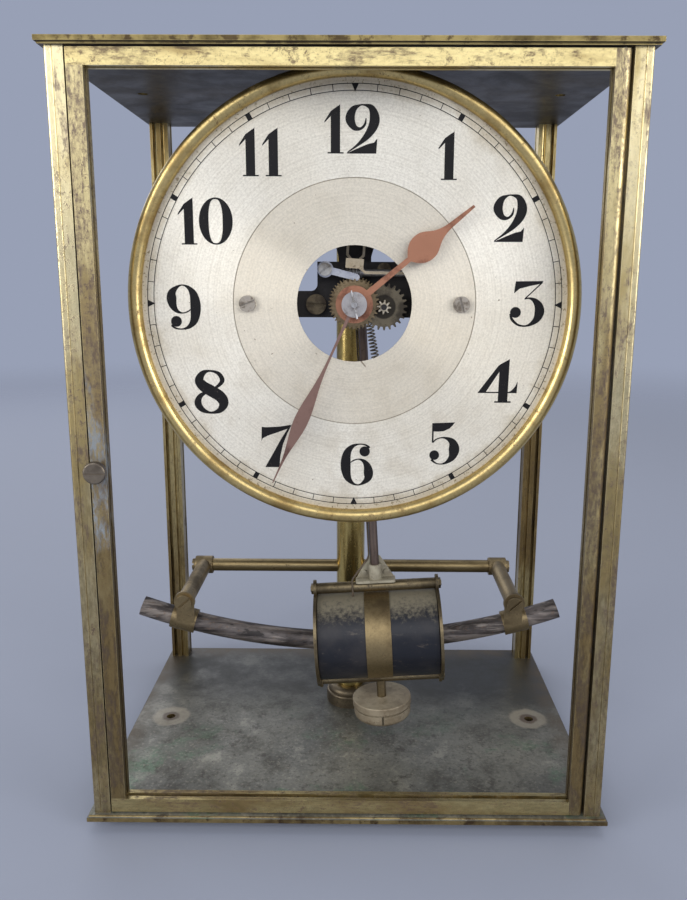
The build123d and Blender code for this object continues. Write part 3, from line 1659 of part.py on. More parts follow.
nut_y = coil_y - nut_distance
with BuildPart() as rating_nut:
    with BuildSketch(across_rod(nut_y + nut_groove / 2)):
        Circle(nut_radius)
    extrude(amount=nut_upper)
    fillet(rating_nut.edges(), radius=0.5)
    with BuildSketch(across_rod(nut_y)):
        Circle(nut_groove_radius)
    extrude(amount=nut_groove / 2, both=True)
    with BuildSketch(across_rod(nut_y - nut_groove / 2)):
        Circle(nut_lower_radius)
    extrude(amount=-nut_lower)
    fillet(rating_nut.edges().group_by(Axis.Z)[0], radius=nut_round)
    with BuildSketch(across_rod(nut_y + nut_groove)):
        Circle(stem_radius + running_clearance)
    extrude(amount=2 * nut_lower, both=True, mode=Mode.SUBTRACT)
    with BuildSketch(across_rod(nut_y - nut_groove / 2)):
        with Locations((0, -nut_lower_radius)):
            Rectangle(nut_slot_width, 2 * nut_slot_depth)
    extrude(amount=-nut_lower, mode=Mode.SUBTRACT)
pieces["rating_nut"] = rating_nut.part

# Lead wire beside the rod, from the clamp to the winding
lead_end_y = coil_y + sqrt(coil_wrap_radius ** 2 - lead_foot_y ** 2)
lead_points = [
    hang(-lead_offset, clamp_low - fixed_clearance),
    hang(-lead_offset, coil_y + lead_bend_rise),
    hang(-lead_foot_x, coil_y + lead_bend_rise - lead_bend_slope, lead_foot_y),
    hang(-lead_foot_x, lead_end_y + 0.1, lead_foot_y),
]
with BuildPart() as lead_wire:
    with BuildLine() as lead_path:
        FilletPolyline(*lead_points, radius=[5.0, 3.0])
    with BuildSketch(across_rod(clamp_low - fixed_clearance)):
        with Locations((-lead_offset, 0)):
            Circle(lead_radius)
    sweep()
pieces["lead_wire"] = lead_wire.part

os.makedirs("parts", exist_ok=True)
for name, piece in pieces.items():
    piece.label = name
    export_step(piece, f"parts/{name}.step")
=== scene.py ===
import math

import bpy
from mathutils import Matrix, Vector


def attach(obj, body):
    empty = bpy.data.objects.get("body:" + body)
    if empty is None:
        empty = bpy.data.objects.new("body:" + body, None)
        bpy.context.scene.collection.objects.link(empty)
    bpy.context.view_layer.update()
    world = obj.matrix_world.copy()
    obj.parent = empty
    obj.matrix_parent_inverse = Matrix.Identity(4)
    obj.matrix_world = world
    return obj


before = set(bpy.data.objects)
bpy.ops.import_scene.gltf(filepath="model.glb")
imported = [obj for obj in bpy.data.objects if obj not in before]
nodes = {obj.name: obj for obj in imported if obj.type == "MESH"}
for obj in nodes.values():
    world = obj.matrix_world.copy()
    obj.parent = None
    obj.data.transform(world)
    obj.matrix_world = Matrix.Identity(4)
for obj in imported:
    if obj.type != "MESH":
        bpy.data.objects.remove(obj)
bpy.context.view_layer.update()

MM = 0.001
PLAIN = (1.0, 1.0, 1.0)              # a noise that isn't stretched
DIAL_X, DIAL_Z = 2.0, 197.7          # dial centre, in mm as all such values here
DIAL_FACE = -51.5                    # front of the dial plate
DIAL_RING = 42.7                     # radius of the engraved ring
MARK_X, MARK_Z = 1.6, -19.1          # top of the short mark below the open centre, from the dial centre
MARK_ALONG = (0.645, -0.764)         # its direction
MINUTE_X, MINUTE_Z = 12.54, 196.59   # minute wheel's centre
PINION_Y = -45.6                     # front of its pinion
FIXING_X, FIXING_Y = 82.6, 1.5       # holes in the base

# ---------------------------------------------------------------- camera

EYE = Vector((4.66, -342.70, 206.52)) * MM
YAW = math.radians(0.345)
PITCH = math.radians(-11.573)
ROLL = math.radians(0.250)
SENSOR, LENS = 36.0, 32.57
SHIFT_X, SHIFT_Y = -0.0143, -0.0051  # the photograph's crop

ahead = Vector((-math.sin(YAW) * math.cos(PITCH), math.cos(YAW) * math.cos(PITCH), math.sin(PITCH)))
level = Vector((math.cos(YAW), math.sin(YAW), 0.0))
above = level.cross(ahead)
right = level * math.cos(ROLL) + above * math.sin(ROLL)
top = above * math.cos(ROLL) - level * math.sin(ROLL)

camera_data = bpy.data.cameras.new("camera")
camera_data.sensor_width = SENSOR
camera_data.lens = LENS
camera_data.shift_x = SHIFT_X
camera_data.shift_y = SHIFT_Y
camera_data.clip_start = 0.01
camera = bpy.data.objects.new("camera", camera_data)
bpy.context.collection.objects.link(camera)
turn = Matrix((right, top, -ahead)).transposed()
camera.matrix_world = Matrix.Translation(EYE) @ turn.to_4x4()
bpy.context.scene.camera = camera


# ---------------------------------------------------------------- materials

def colour(red, green, blue):
    """A colour from 0 to 255 as the linear values that a shader takes."""
    out = []
    for value in (red, green, blue):
        v = value / 255.0
        out.append(v / 12.92 if v <= 0.04045 else ((v + 0.055) / 1.055) ** 2.4)
    return (*out, 1.0)


class Finish:
    """A node material built from fields in the object's own frame."""

    def __init__(self, name):
        self.material = bpy.data.materials.new(name)
        self.material.use_nodes = True
        self.tree = self.material.node_tree
        self.tree.nodes.clear()
        out = self.add("ShaderNodeOutputMaterial")
        self.shader = self.add("ShaderNodeBsdfPrincipled")
        self.join(self.shader.outputs["BSDF"], out.inputs["Surface"])
        self.place = self.add("ShaderNodeTexCoord").outputs["Object"]
        self.normal = self.add("ShaderNodeNewGeometry").outputs["Normal"]

    def add(self, kind):
        return self.tree.nodes.new(kind)

    def join(self, source, target):
        self.tree.links.new(source, target)

    def put(self, socket, value):
        if isinstance(value, bpy.types.NodeSocket):
            self.join(value, socket)
        else:
            socket.default_value = value

    def sums(self, operation, a, b=0.0, c=0.0, clamp=False):
        node = self.add("ShaderNodeMath")
        node.operation = operation
        node.use_clamp = clamp
        for socket, value in zip(node.inputs, (a, b, c)):
            self.put(socket, value)
        return node.outputs[0]

    def radius(self, a, b):
        """The distance from nought of a point given by two values."""
        return self.sums("SQRT", self.sums("ADD", self.sums("MULTIPLY", a, a), self.sums("MULTIPLY", b, b)))

    def part(self, vector):
        node = self.add("ShaderNodeSeparateXYZ")
        self.put(node.inputs[0], vector)
        return node.outputs

    def noise(self, size, detail=4.0, rough=0.55, stretch=PLAIN, shift=0.0, twist=0.0):
        """A noise whose features are about size millimetres across."""
        mapping = self.add("ShaderNodeMapping")
        mapping.inputs["Location"].default_value = (shift, shift * 0.7, shift * 1.3)
        mapping.inputs["Scale"].default_value = stretch
        self.join(self.place, mapping.inputs["Vector"])
        node = self.add("ShaderNodeTexNoise")
        node.inputs["Scale"].default_value = 0.5 / (size * MM)
        node.inputs["Detail"].default_value = detail
        node.inputs["Roughness"].default_value = rough
        node.inputs["Distortion"].default_value = twist
        self.join(mapping.outputs[0], node.inputs["Vector"])
        return node.outputs[0]

    def step(self, value, low, high, bottom=0.0, upper=1.0):
        """Rises smoothly from bottom to upper while value goes from low to high."""
        node = self.add("ShaderNodeMapRange")
        node.interpolation_type = "SMOOTHSTEP"
        for name, number in (("From Min", low), ("From Max", high), ("To Min", bottom), ("To Max", upper)):
            node.inputs[name].default_value = number
        self.put(node.inputs["Value"], value)
        return node.outputs[0]

    def mix(self, share, first, second):
        node = self.add("ShaderNodeMix")
        node.data_type = "RGBA"
        node.clamp_factor = True
        self.put(node.inputs[0], share)
        self.put(node.inputs[6], first)
        self.put(node.inputs[7], second)
        return node.outputs[2]

    def edge(self, radius):
        """One along sharp edges, nought on flat faces."""
        bevel = self.add("ShaderNodeBevel")
        bevel.samples = 6
        bevel.inputs["Radius"].default_value = radius * MM
        dot = self.add("ShaderNodeVectorMath")
        dot.operation = "DOT_PRODUCT"
        self.join(bevel.outputs[0], dot.inputs[0])
        self.join(self.normal, dot.inputs[1])
        return self.step(dot.outputs["Value"], 0.985, 0.86)

    def bump(self, height, depth, strength=1.0):
        node = self.add("ShaderNodeBump")
        node.inputs["Strength"].default_value = strength
        node.inputs["Distance"].default_value = depth * MM
        self.put(node.inputs["Height"], height)
        self.join(node.outputs[0], self.shader.inputs["Normal"])

    def finish(self, base, metal, rough):
        self.put(self.shader.inputs["Base Color"], base)
        self.put(self.shader.inputs["Metallic"], metal)
        self.put(self.shader.inputs["Roughness"], rough)
        return self.material


BROWN = colour(78, 60, 44)
BLOOM = colour(122, 130, 138)
PURPLE = colour(98, 82, 82)
# Browns and a dark stain used towards the bottom of aged brass: partly tarnish, partly painted shade.
LOW_BROWN_AND_SHADE = colour(122, 101, 66)
DEEP_BROWN = colour(84, 68, 48)
LOW_STAIN_AND_SHADE = colour(60, 50, 40)


def aged_brass(name, clean, dull, stain, dulling=0.5, staining=0.5, haze=0.0, along=None, gloss=0.32, edge_wear_and_highlight=0.6,
               low_tarnish_and_shade=0.0, shift=0.0):
    """Brass gone dull in clouds, with dark spots, specks and a grey bloom; bright on its edges, partly rub wear and
    partly a painted highlight; darker and browner towards the bottom, partly tarnish and partly painted shade.
    """
    f = Finish(name)
    stretch = {"z": (1.0, 1.0, 0.3), "x": (0.3, 1.0, 1.0), None: PLAIN}[along]
    height = f.part(f.place)[2]
    # The lower part darkens and browns: partly tarnish, partly painted shade.
    low = f.step(height, 0.27, 0.06)
    clouds = f.noise(9.0, 5.0, 0.6, stretch, shift + 0.3)
    tarnish_and_shade_low = f.sums("MULTIPLY", low, low_tarnish_and_shade)
    clouds = f.sums("ADD", clouds, f.sums("MULTIPLY", tarnish_and_shade_low, 0.14))
    dulled = f.step(clouds, 0.66 - 0.32 * dulling, 0.84 - 0.32 * dulling)
    grain = f.noise(0.5, 5.0, 0.7, stretch, shift + 1.1)
    blotch = f.noise(3.2, 6.0, 0.66, stretch, shift + 2.2, 0.4)
    blotch = f.sums("ADD", blotch, f.sums("MULTIPLY", tarnish_and_shade_low, 0.05))
    spots = f.step(blotch, 0.70 - 0.16 * staining, 0.76 - 0.16 * staining)
    broad = f.noise(16.0, 6.0, 0.62, stretch, shift + 3.3, 0.6)
    patches = f.step(broad, 0.69 - 0.13 * staining, 0.76 - 0.13 * staining)
    specks = f.step(f.noise(0.7, 3.0, 0.6, PLAIN, shift + 4.4), 0.68 - 0.05 * staining, 0.74)
    mottle = f.noise(1.2, 5.0, 0.72, PLAIN, shift + 5.5)
    mottled = f.step(mottle, 0.62 - 0.06 * staining, 0.68 - 0.06 * staining)
    mottled = f.sums("MULTIPLY", mottled, f.step(broad, 0.40, 0.58, 0.25, 0.85))
    tone = f.mix(dulled, clean, dull)
    tone = f.mix(f.step(grain, 0.3, 0.7, 0.0, 0.35), tone, dull)
    lower_tone_and_shade = f.mix(f.step(f.sums("ADD", blotch, f.sums("MULTIPLY", grain, 0.3)), 0.58, 0.72), LOW_BROWN_AND_SHADE, DEEP_BROWN)
    tone = f.mix(f.sums("MULTIPLY", tarnish_and_shade_low, f.step(grain, 0.3, 0.7, 0.75, 1.0)), tone, lower_tone_and_shade)
    dark = f.sums("MAXIMUM", f.sums("MULTIPLY", spots, 0.82), f.sums("MULTIPLY", patches, 0.62))
    dark = f.sums("MAXIMUM", dark, f.sums("MULTIPLY", specks, 0.8))
    pepper = f.step(f.noise(0.45, 3.0, 0.6, PLAIN, shift + 6.6), 0.57 - 0.03 * staining, 0.64)
    pepper = f.sums("MULTIPLY", pepper, f.step(broad, 0.40, 0.60, 0.2 * staining, 0.75 * staining))
    dark = f.sums("MAXIMUM", dark, f.sums("MAXIMUM", mottled, pepper))
    dark = f.sums("MULTIPLY", dark, f.step(grain, 0.36, 0.58, 0.35, 1.0))
    dark = f.sums("MULTIPLY", dark, f.step(mottle, 0.40, 0.56, 0.45, 1.0))
    # Stains turn darker towards the bottom: partly tarnish, partly painted shade.
    tone = f.mix(dark, tone, f.mix(tarnish_and_shade_low, stain, LOW_STAIN_AND_SHADE))
    # Edges brightened towards the clean colour: partly rub wear, partly a painted highlight.
    edges = f.edge(0.35)
    rubbed_and_highlit = f.sums("MULTIPLY", f.sums("MULTIPLY", edges, edge_wear_and_highlight), f.step(blotch, 0.62, 0.5, 0.25, 1.0))
    rubbed_and_highlit = f.sums("MULTIPLY", rubbed_and_highlit, f.sums("SUBTRACT", 1.0, f.sums("MULTIPLY", tarnish_and_shade_low, 0.5)))
    tone = f.mix(rubbed_and_highlit, tone, clean)
    dark = f.sums("MULTIPLY", dark, f.sums("SUBTRACT", 1.0, rubbed_and_highlit))
    metal = f.sums("SUBTRACT", 1.0, f.sums("MULTIPLY", dark, 0.55))
    rough = f.sums("ADD", f.step(clouds, 0.4, 0.7, gloss, gloss + 0.14), f.sums("MULTIPLY", dark, 0.22))
    if haze:
        bloom = f.noise(14.0, 6.0, 0.7, stretch, shift + 7.7, 0.5)
        bloomed = f.step(bloom, 0.70 - 0.13 * haze, 0.78 - 0.13 * haze)
        bloomed = f.sums("MULTIPLY", bloomed, f.step(grain, 0.40, 0.58, 0.15, 0.9))
        tone = f.mix(bloomed, tone, BLOOM)
        metal = f.sums("MULTIPLY", metal, f.sums("SUBTRACT", 1.0, f.sums("MULTIPLY", bloomed, 0.8)))
        rough = f.sums("ADD", rough, f.sums("MULTIPLY", bloomed, 0.2))
    relief = f.sums("ADD", f.sums("MULTIPLY", dark, 0.6), f.sums("MULTIPLY", grain, 0.5))
    f.bump(relief, 0.06, 0.6)
    return f.finish(tone, metal, rough)


def metal_finish(name, clean, dull, gloss=0.35, metal=0.9, mottled=0.5, size=3.0, along=None, edge_wear_and_highlight=0.5, grit=0.05):
    """A plain metal with cloudy dulling, fine grit and bright edges, partly wear and partly a painted highlight."""
    f = Finish(name)
    stretch = {"z": (1.0, 1.0, 0.25), "x": (0.25, 1.0, 1.0), None: PLAIN}[along]
    clouds = f.noise(size, 5.0, 0.6, stretch, 0.9)
    grain = f.noise(0.35, 4.0, 0.6, stretch, 1.7)
    dulled = f.step(clouds, 0.64 - 0.3 * mottled, 0.8 - 0.3 * mottled)
    dulled = f.sums("MULTIPLY", dulled, f.step(grain, 0.3, 0.6, 0.6, 1.0))
    # Edges brightened towards the clean colour: partly wear, partly a painted highlight.
    edges = f.sums("MULTIPLY", f.edge(0.2), edge_wear_and_highlight)
    tone = f.mix(edges, f.mix(dulled, clean, dull), clean)
    rough = f.sums("ADD", f.step(clouds, 0.35, 0.7, gloss, gloss + 0.2), f.sums("MULTIPLY", grain, 0.1))
    f.bump(f.sums("ADD", grain, clouds), grit, 0.5)
    return f.finish(tone, metal, rough)


post_brass = aged_brass("post_brass", colour(236, 222, 176), colour(184, 166, 116), PURPLE, 0.5, 0.95, 0.5,
                        "z", 0.32, 0.9, 0.75, 0.0)
stile_brass = aged_brass("stile_brass", colour(220, 204, 152), colour(156, 139, 98), colour(92, 76, 74), 0.55, 1.3,
                         0.75, "z", 0.34, 0.9, 0.85, 5.0)
rear_brass = aged_brass("rear_brass", colour(226, 206, 146), colour(138, 116, 72), BROWN, 0.6, 0.6, 0.1, "z", 0.28,
                        0.7, 0.6, 9.0)
rail_brass = aged_brass("rail_brass", colour(228, 210, 150), colour(166, 144, 96), colour(92, 74, 62), 0.5, 1.0,
                        0.0, "x", 0.32, 0.8, 0.45, 12.0)
bezel_brass = aged_brass("bezel_brass", colour(216, 192, 130), colour(166, 140, 88), colour(92, 72, 52), 0.55, 0.6,
                          0.0, None, 0.28, 0.6, 0.0, 15.0)
column_brass = aged_brass("column_brass", colour(196, 174, 110), colour(128, 106, 60), colour(52, 40, 28), 0.5, 0.3,
                          0.0, "z", 0.2, 0.4, 0.0, 18.0)
foot_brass = aged_brass("foot_brass", colour(116, 105, 86), colour(80, 71, 57), colour(50, 42, 34), 0.6, 0.5, 0.0,
                        None, 0.46, 0.5, 0.0, 19.0)
fitting_brass = aged_brass("fitting_brass", colour(176, 158, 118), colour(116, 98, 70), colour(62, 50, 40), 0.6, 0.5,
                           0.0, None, 0.4, 0.7, 0.0, 21.0)
bar_brass = aged_brass("bar_brass", colour(156, 138, 100), colour(108, 92, 64), colour(58, 46, 36), 0.5, 0.5, 0.0,
                       "x", 0.34, 0.6, 0.0, 22.0)
strap_brass = aged_brass("strap_brass", colour(148, 131, 98), colour(104, 91, 68), colour(58, 48, 38), 0.6, 0.5, 0.0,
                         None, 0.44, 0.7, 0.0, 23.0)
coil_brass = aged_brass("coil_brass", colour(136, 122, 94), colour(90, 80, 62), colour(50, 43, 37), 0.6, 0.6,
                        0.0, None, 0.4, 0.9, 0.0, 24.0)
band_brass = aged_brass("band_brass", colour(152, 134, 98), colour(108, 93, 68), colour(60, 49, 38), 0.5, 0.6,
                        0.0, None, 0.44, 0.7, 0.0, 27.0)
wheel_brass = aged_brass("wheel_brass", colour(150, 132, 102), colour(104, 90, 70), colour(56, 46, 38), 0.55, 0.4,
                         0.0, None, 0.4, 0.9, 0.0, 30.0)
fork_brass = aged_brass("fork_brass", colour(186, 172, 146), colour(132, 116, 94), colour(76, 64, 54), 0.5, 0.4,
                        0.0, None, 0.4, 0.8, 0.0, 33.0)
knob_brass = aged_brass("knob_brass", colour(132, 122, 108), colour(92, 84, 75), colour(56, 48, 42), 0.6, 0.5, 0.0,
                        None, 0.4, 0.8, 0.0, 39.0)
rod_brass = aged_brass("rod_brass", colour(120, 106, 97), colour(86, 73, 67), colour(60, 50, 46), 0.5, 0.4, 0.0,
                       "z", 0.44, 0.6, 0.0, 36.0)

steel = metal_finish("steel", colour(176, 176, 178), colour(118, 114, 110), 0.34, 0.9, 0.5, 3.0, None, 0.7)
bluish_steel = metal_finish("bluish_steel", colour(186, 188, 196), colour(140, 142, 150), 0.32, 0.85, 0.4, 2.0)
collet_steel = metal_finish("collet_steel", colour(174, 170, 168), colour(128, 122, 120), 0.36, 0.9, 0.5, 2.5)
grey_screws = metal_finish("grey_screws", colour(168, 160, 148), colour(108, 99, 88), 0.38, 0.85, 0.5, 1.5)
hour_copper = metal_finish("hour_copper", colour(160, 112, 88), colour(118, 78, 62), 0.38, 0.6, 0.5, 4.0, None, 0.5)
minute_copper = metal_finish("minute_copper", colour(128, 101, 92), colour(94, 70, 64), 0.38, 0.6, 0.5, 5.0, None,
                             0.5)
black_plate = metal_finish("black_plate", colour(50, 47, 46), colour(30, 28, 28), 0.42, 0.5, 0.5, 4.0, None, 0.8)
spring_metal = metal_finish("spring_metal", colour(128, 120, 108), colour(84, 77, 68), 0.36, 0.85, 0.5, 2.0)


def make_minute_wheel():
    """A dull brass wheel with a dark boss and a pale leaved pinion standing in front of it."""
    f = Finish("minute_wheel")
    across, deep, up = f.part(f.place)
    grain = f.noise(0.5, 5.0, 0.7, PLAIN, 0.4)
    clouds = f.noise(3.0, 5.0, 0.6, PLAIN, 1.4)
    off_x = f.sums("SUBTRACT", across, MINUTE_X * MM)
    off_z = f.sums("SUBTRACT", up, MINUTE_Z * MM)
    reach = f.radius(off_x, off_z)
    tone = f.mix(f.step(clouds, 0.4, 0.62), colour(124, 114, 94), colour(78, 71, 60))
    tone = f.mix(f.step(reach, 4.6 * MM, 4.0 * MM, 0.0, 0.85), tone, colour(40, 36, 32))
    pinion = f.step(deep, (PINION_Y + 0.3) * MM, PINION_Y * MM)
    tone = f.mix(pinion, tone, f.mix(f.step(grain, 0.4, 0.6), colour(206, 196, 176), colour(158, 146, 124)))
    tone = f.mix(f.step(grain, 0.6, 0.7, 0.0, 0.6), tone, colour(52, 44, 36))
    f.bump(grain, 0.05, 0.5)
    return f.finish(tone, 0.75, f.step(clouds, 0.3, 0.7, 0.36, 0.5))


def make_movement_screws():
    """Dull olive-brown screw heads, and the click's own screw in pale steel."""
    f = Finish("movement_screws")
    across, _, up = f.part(f.place)
    grain = f.noise(0.5, 5.0, 0.7, PLAIN, 0.4)
    clouds = f.noise(2.6, 5.0, 0.6, PLAIN, 1.4)
    dull = f.mix(f.step(clouds, 0.4, 0.62), colour(112, 100, 78), colour(72, 62, 50))
    pale = f.mix(f.step(clouds, 0.4, 0.62), colour(176, 174, 170), colour(122, 117, 110))
    click = f.sums("MULTIPLY", f.step(across, -4.0 * MM, -5.0 * MM), f.step(up, 204.0 * MM, 205.5 * MM))
    tone = f.mix(click, dull, pale)
    tone = f.mix(f.step(grain, 0.6, 0.7, 0.0, 0.5), tone, colour(54, 46, 40))
    f.bump(grain, 0.05, 0.5)
    return f.finish(tone, 0.7, f.step(clouds, 0.3, 0.7, 0.42, 0.56))


def make_magnet():
    """Old bar iron: mottled dark grey-brown, with pale rubbed streaks along the bar."""
    f = Finish("magnet_iron")
    streaks = f.noise(2.2, 6.0, 0.65, (0.16, 1.0, 1.0), 0.4, 0.3)
    clouds = f.noise(7.0, 5.0, 0.6, (0.6, 1.0, 1.0), 1.4)
    grain = f.noise(0.6, 4.0, 0.7, (0.5, 1.0, 1.0), 2.4)
    tone = f.mix(f.step(clouds, 0.38, 0.64), colour(96, 90, 88), colour(58, 52, 50))
    tone = f.mix(f.step(streaks, 0.50, 0.60, 0.0, 0.8), tone, colour(138, 130, 124))
    tone = f.mix(f.step(streaks, 0.48, 0.40, 0.0, 0.9), tone, colour(34, 30, 29))
    tone = f.mix(f.step(grain, 0.56, 0.7, 0.0, 0.6), tone, colour(112, 90, 74))
    f.bump(f.sums("ADD", streaks, f.sums("MULTIPLY", grain, 0.5)), 0.18, 0.7)
    return f.finish(tone, 0.45, f.step(grain, 0.3, 0.7, 0.42, 0.62))


def make_wrap():
    """The coil's dark lacquered wrap, its turns just showing, with dust on what faces up."""
    f = Finish("coil_wrap")
    turns = f.add("ShaderNodeTexWave")
    turns.wave_type = "BANDS"
    turns.bands_direction = "X"
    turns.inputs["Scale"].default_value = 700.0
    turns.inputs["Distortion"].default_value = 1.2
    turns.inputs["Detail"].default_value = 2.0
    f.join(f.place, turns.inputs["Vector"])
    clouds = f.noise(8.0, 5.0, 0.6, PLAIN, 0.5)
    grain = f.noise(0.8, 6.0, 0.7, PLAIN, 1.5)
    scuff = f.noise(1.0, 6.0, 0.75, (0.35, 1.0, 1.0), 2.5)
    tone = f.mix(f.step(clouds, 0.36, 0.64), colour(27, 29, 36), colour(43, 42, 45))
    tone = f.mix(f.step(scuff, 0.58, 0.68, 0.0, 0.4), tone, colour(96, 88, 80))
    facing = f.part(f.normal)[2]
    lie = f.sums("ADD", facing, f.sums("MULTIPLY", f.sums("SUBTRACT", grain, 0.5), 0.9))
    dust = f.step(lie, 0.58, 1.0, 0.0, 0.8)
    tone = f.mix(dust, tone, colour(120, 114, 98))
    f.bump(f.sums("ADD", f.sums("MULTIPLY", turns.outputs["Fac"], 0.5), grain), 0.1, 0.6)
    rough = f.sums("ADD", f.step(clouds, 0.3, 0.7, 0.3, 0.44), f.sums("MULTIPLY", dust, 0.35))
    f.shader.inputs["Specular IOR Level"].default_value = 0.3
    return f.finish(tone, 0.0, rough)


def make_dusty(name, clean, dust, dark, bare):
    """A pale dusty coat over dull metal, thinner on the sides by the share in bare, with a painted highlight on its
    edges.
    """
    f = Finish(name)
    grain = f.noise(0.8, 6.0, 0.7, PLAIN, 0.2)
    clouds = f.noise(4.0, 5.0, 0.6, PLAIN, 1.2)
    facing = f.part(f.normal)[2]
    tone = f.mix(f.step(clouds, 0.36, 0.66), clean, dust)
    tone = f.mix(f.step(grain, 0.56, 0.70, 0.0, 0.7), tone, dark)
    tone = f.mix(f.step(facing, 0.2, 0.8, bare, 0.0), tone, dark)
    tone = f.mix(f.step(facing, -0.2, -0.9, 0.0, 0.6), tone, dark)
    # Painted highlight: sharp edges lightened towards the dust colour.
    tone = f.mix(f.sums("MULTIPLY", f.edge(0.25), 0.5), tone, dust)
    f.bump(grain, 0.08, 0.6)
    return f.finish(tone, 0.25, f.step(clouds, 0.3, 0.7, 0.5, 0.7))


def make_deck():
    """The base: a stained grey-olive top with green bloom, pale rings, brown borders, brass edges, and painted shade
    towards the back.
    """
    f = Finish("base_deck")
    across, deep, _ = f.part(f.place)
    facing = f.part(f.normal)[2]
    broad = f.noise(34.0, 7.0, 0.66, PLAIN, 0.6, 0.2)
    clouds = f.noise(11.0, 8.0, 0.74, PLAIN, 1.6, 0.1)
    blotch = f.noise(3.6, 6.0, 0.7, PLAIN, 2.6)
    grain = f.noise(0.7, 5.0, 0.7, PLAIN, 3.6)
    tone = f.mix(f.step(broad, 0.36, 0.62), colour(122, 121, 112), colour(94, 94, 88))
    tone = f.mix(f.step(clouds, 0.50, 0.64, 0.0, 0.75), tone, colour(68, 65, 57))
    tone = f.mix(f.step(clouds, 0.46, 0.35, 0.0, 0.65), tone, colour(150, 148, 136))
    green = f.sums("MULTIPLY", f.step(f.noise(19.0, 6.0, 0.7, PLAIN, 8.1, 0.2), 0.52, 0.60, 0.0, 0.8),
                   f.step(deep, 0.03, -0.045))
    green = f.sums("MULTIPLY", green, f.step(blotch, 0.42, 0.6, 0.2, 1.0))
    tone = f.mix(green, tone, colour(84, 112, 88))
    tone = f.mix(f.step(blotch, 0.57, 0.66, 0.0, 0.65), tone, colour(60, 54, 46))
    pits = f.noise(1.3, 5.0, 0.75, PLAIN, 4.6)
    tone = f.mix(f.step(pits, 0.56, 0.64, 0.0, 0.6), tone, colour(56, 52, 46))
    tone = f.mix(f.step(grain, 0.54, 0.66, 0.0, 0.5), tone, colour(152, 148, 134))
    tone = f.mix(f.step(grain, 0.46, 0.36, 0.0, 0.4), tone, colour(58, 55, 48))
    # Painted shade: darker towards the back and a little towards the right.
    shade = f.sums("ADD", f.step(deep, -0.03, 0.05, 0.0, 1.0), f.step(across, -0.02, 0.09, 0.0, 0.3))
    shade = f.sums("MULTIPLY", shade, f.step(clouds, 0.3, 0.6, 0.8, 1.05))
    tone = f.mix(shade, tone, colour(50, 50, 46))
    side = f.sums("ABSOLUTE", across)
    ring_x = f.sums("SUBTRACT", side, FIXING_X * MM)
    ring_y = f.sums("SUBTRACT", deep, FIXING_Y * MM)
    reach = f.radius(ring_x, ring_y)
    reach = f.sums("ADD", reach, f.sums("MULTIPLY", f.sums("SUBTRACT", blotch, 0.5), 0.004))
    tone = f.mix(f.step(reach, 9.2 * MM, 7.4 * MM, 0.0, 0.5), tone, colour(150, 142, 126))
    tone = f.mix(f.step(reach, 4.6 * MM, 3.2 * MM, 0.0, 0.8), tone, colour(66, 50, 38))
    border = f.sums("MAXIMUM", f.step(side, 0.086, 0.098), f.step(deep, 0.058, 0.072))
    tone = f.mix(f.sums("MULTIPLY", border, f.step(clouds, 0.4, 0.6, 0.3, 0.9)), tone, colour(82, 72, 58))
    edge_tone = f.mix(f.step(clouds, 0.42, 0.6), colour(150, 131, 88), colour(92, 77, 52))
    edge_tone = f.mix(f.step(blotch, 0.54, 0.62, 0.0, 0.85), edge_tone, colour(66, 50, 36))
    flat = f.step(facing, 0.55, 0.9)
    under = f.step(facing, -0.5, -0.9)
    tone = f.mix(flat, edge_tone, tone)
    tone = f.mix(under, tone, colour(88, 76, 58))
    f.bump(f.sums("ADD", clouds, f.sums("MULTIPLY", grain, 0.6)), 0.12, 0.5)
    metal = f.step(facing, 0.9, 0.5, 0.25, 0.9)
    return f.finish(tone, metal, f.step(clouds, 0.34, 0.66, 0.36, 0.56))


def make_roof():
    """The top plate: brown underneath, partly tarnish and partly painted shade; dull brass on top; darker round its
    edge, with a painted highlight along the sharp edges.
    """
    f = Finish("roof_plate")
    facing = f.part(f.normal)[2]
    broad = f.noise(30.0, 6.0, 0.6, PLAIN, 0.8, 0.6)
    clouds = f.noise(9.0, 6.0, 0.65, PLAIN, 1.8, 0.4)
    blotch = f.noise(2.8, 6.0, 0.7, PLAIN, 2.8)
    grain = f.noise(0.5, 5.0, 0.7, PLAIN, 3.8)
    upper = f.mix(f.step(clouds, 0.4, 0.62), colour(146, 130, 84), colour(92, 80, 50))
    upper = f.mix(f.step(blotch, 0.52, 0.62, 0.0, 0.8), upper, colour(62, 48, 36))
    sheet = f.mix(f.step(broad, 0.36, 0.64), colour(156, 141, 98), colour(128, 113, 76))
    sheet = f.mix(f.step(clouds, 0.50, 0.70, 0.0, 0.6), sheet, colour(104, 90, 60))
    sheet = f.mix(f.step(blotch, 0.56, 0.66, 0.0, 0.5), sheet, colour(78, 62, 44))
    sheet = f.mix(f.step(grain, 0.56, 0.68, 0.0, 0.5), sheet, colour(92, 76, 52))
    upper = f.mix(f.step(facing, 0.5, 0.9), upper, sheet)
    # Darker and browner underneath: partly tarnish, partly painted shade.
    lower = f.mix(f.step(broad, 0.38, 0.62), colour(70, 61, 47), colour(46, 40, 31))
    lower = f.mix(f.step(blotch, 0.52, 0.66, 0.0, 0.5), lower, colour(40, 35, 31))
    lower = f.mix(f.step(grain, 0.60, 0.70, 0.0, 0.4), lower, colour(116, 104, 84))
    tone = f.mix(f.step(facing, -0.4, -0.85), upper, lower)
    # Painted highlight along the sharp edges.
    tone = f.mix(f.sums("MULTIPLY", f.edge(0.35), 0.45), tone, colour(196, 178, 124))
    f.bump(f.sums("ADD", clouds, f.sums("MULTIPLY", grain, 0.6)), 0.08, 0.5)
    metal = f.step(facing, -0.85, -0.4, 0.15, 0.88)
    f.shader.inputs["Specular IOR Level"].default_value = 0.3
    return f.finish(tone, metal, f.step(clouds, 0.34, 0.66, 0.34, 0.5))


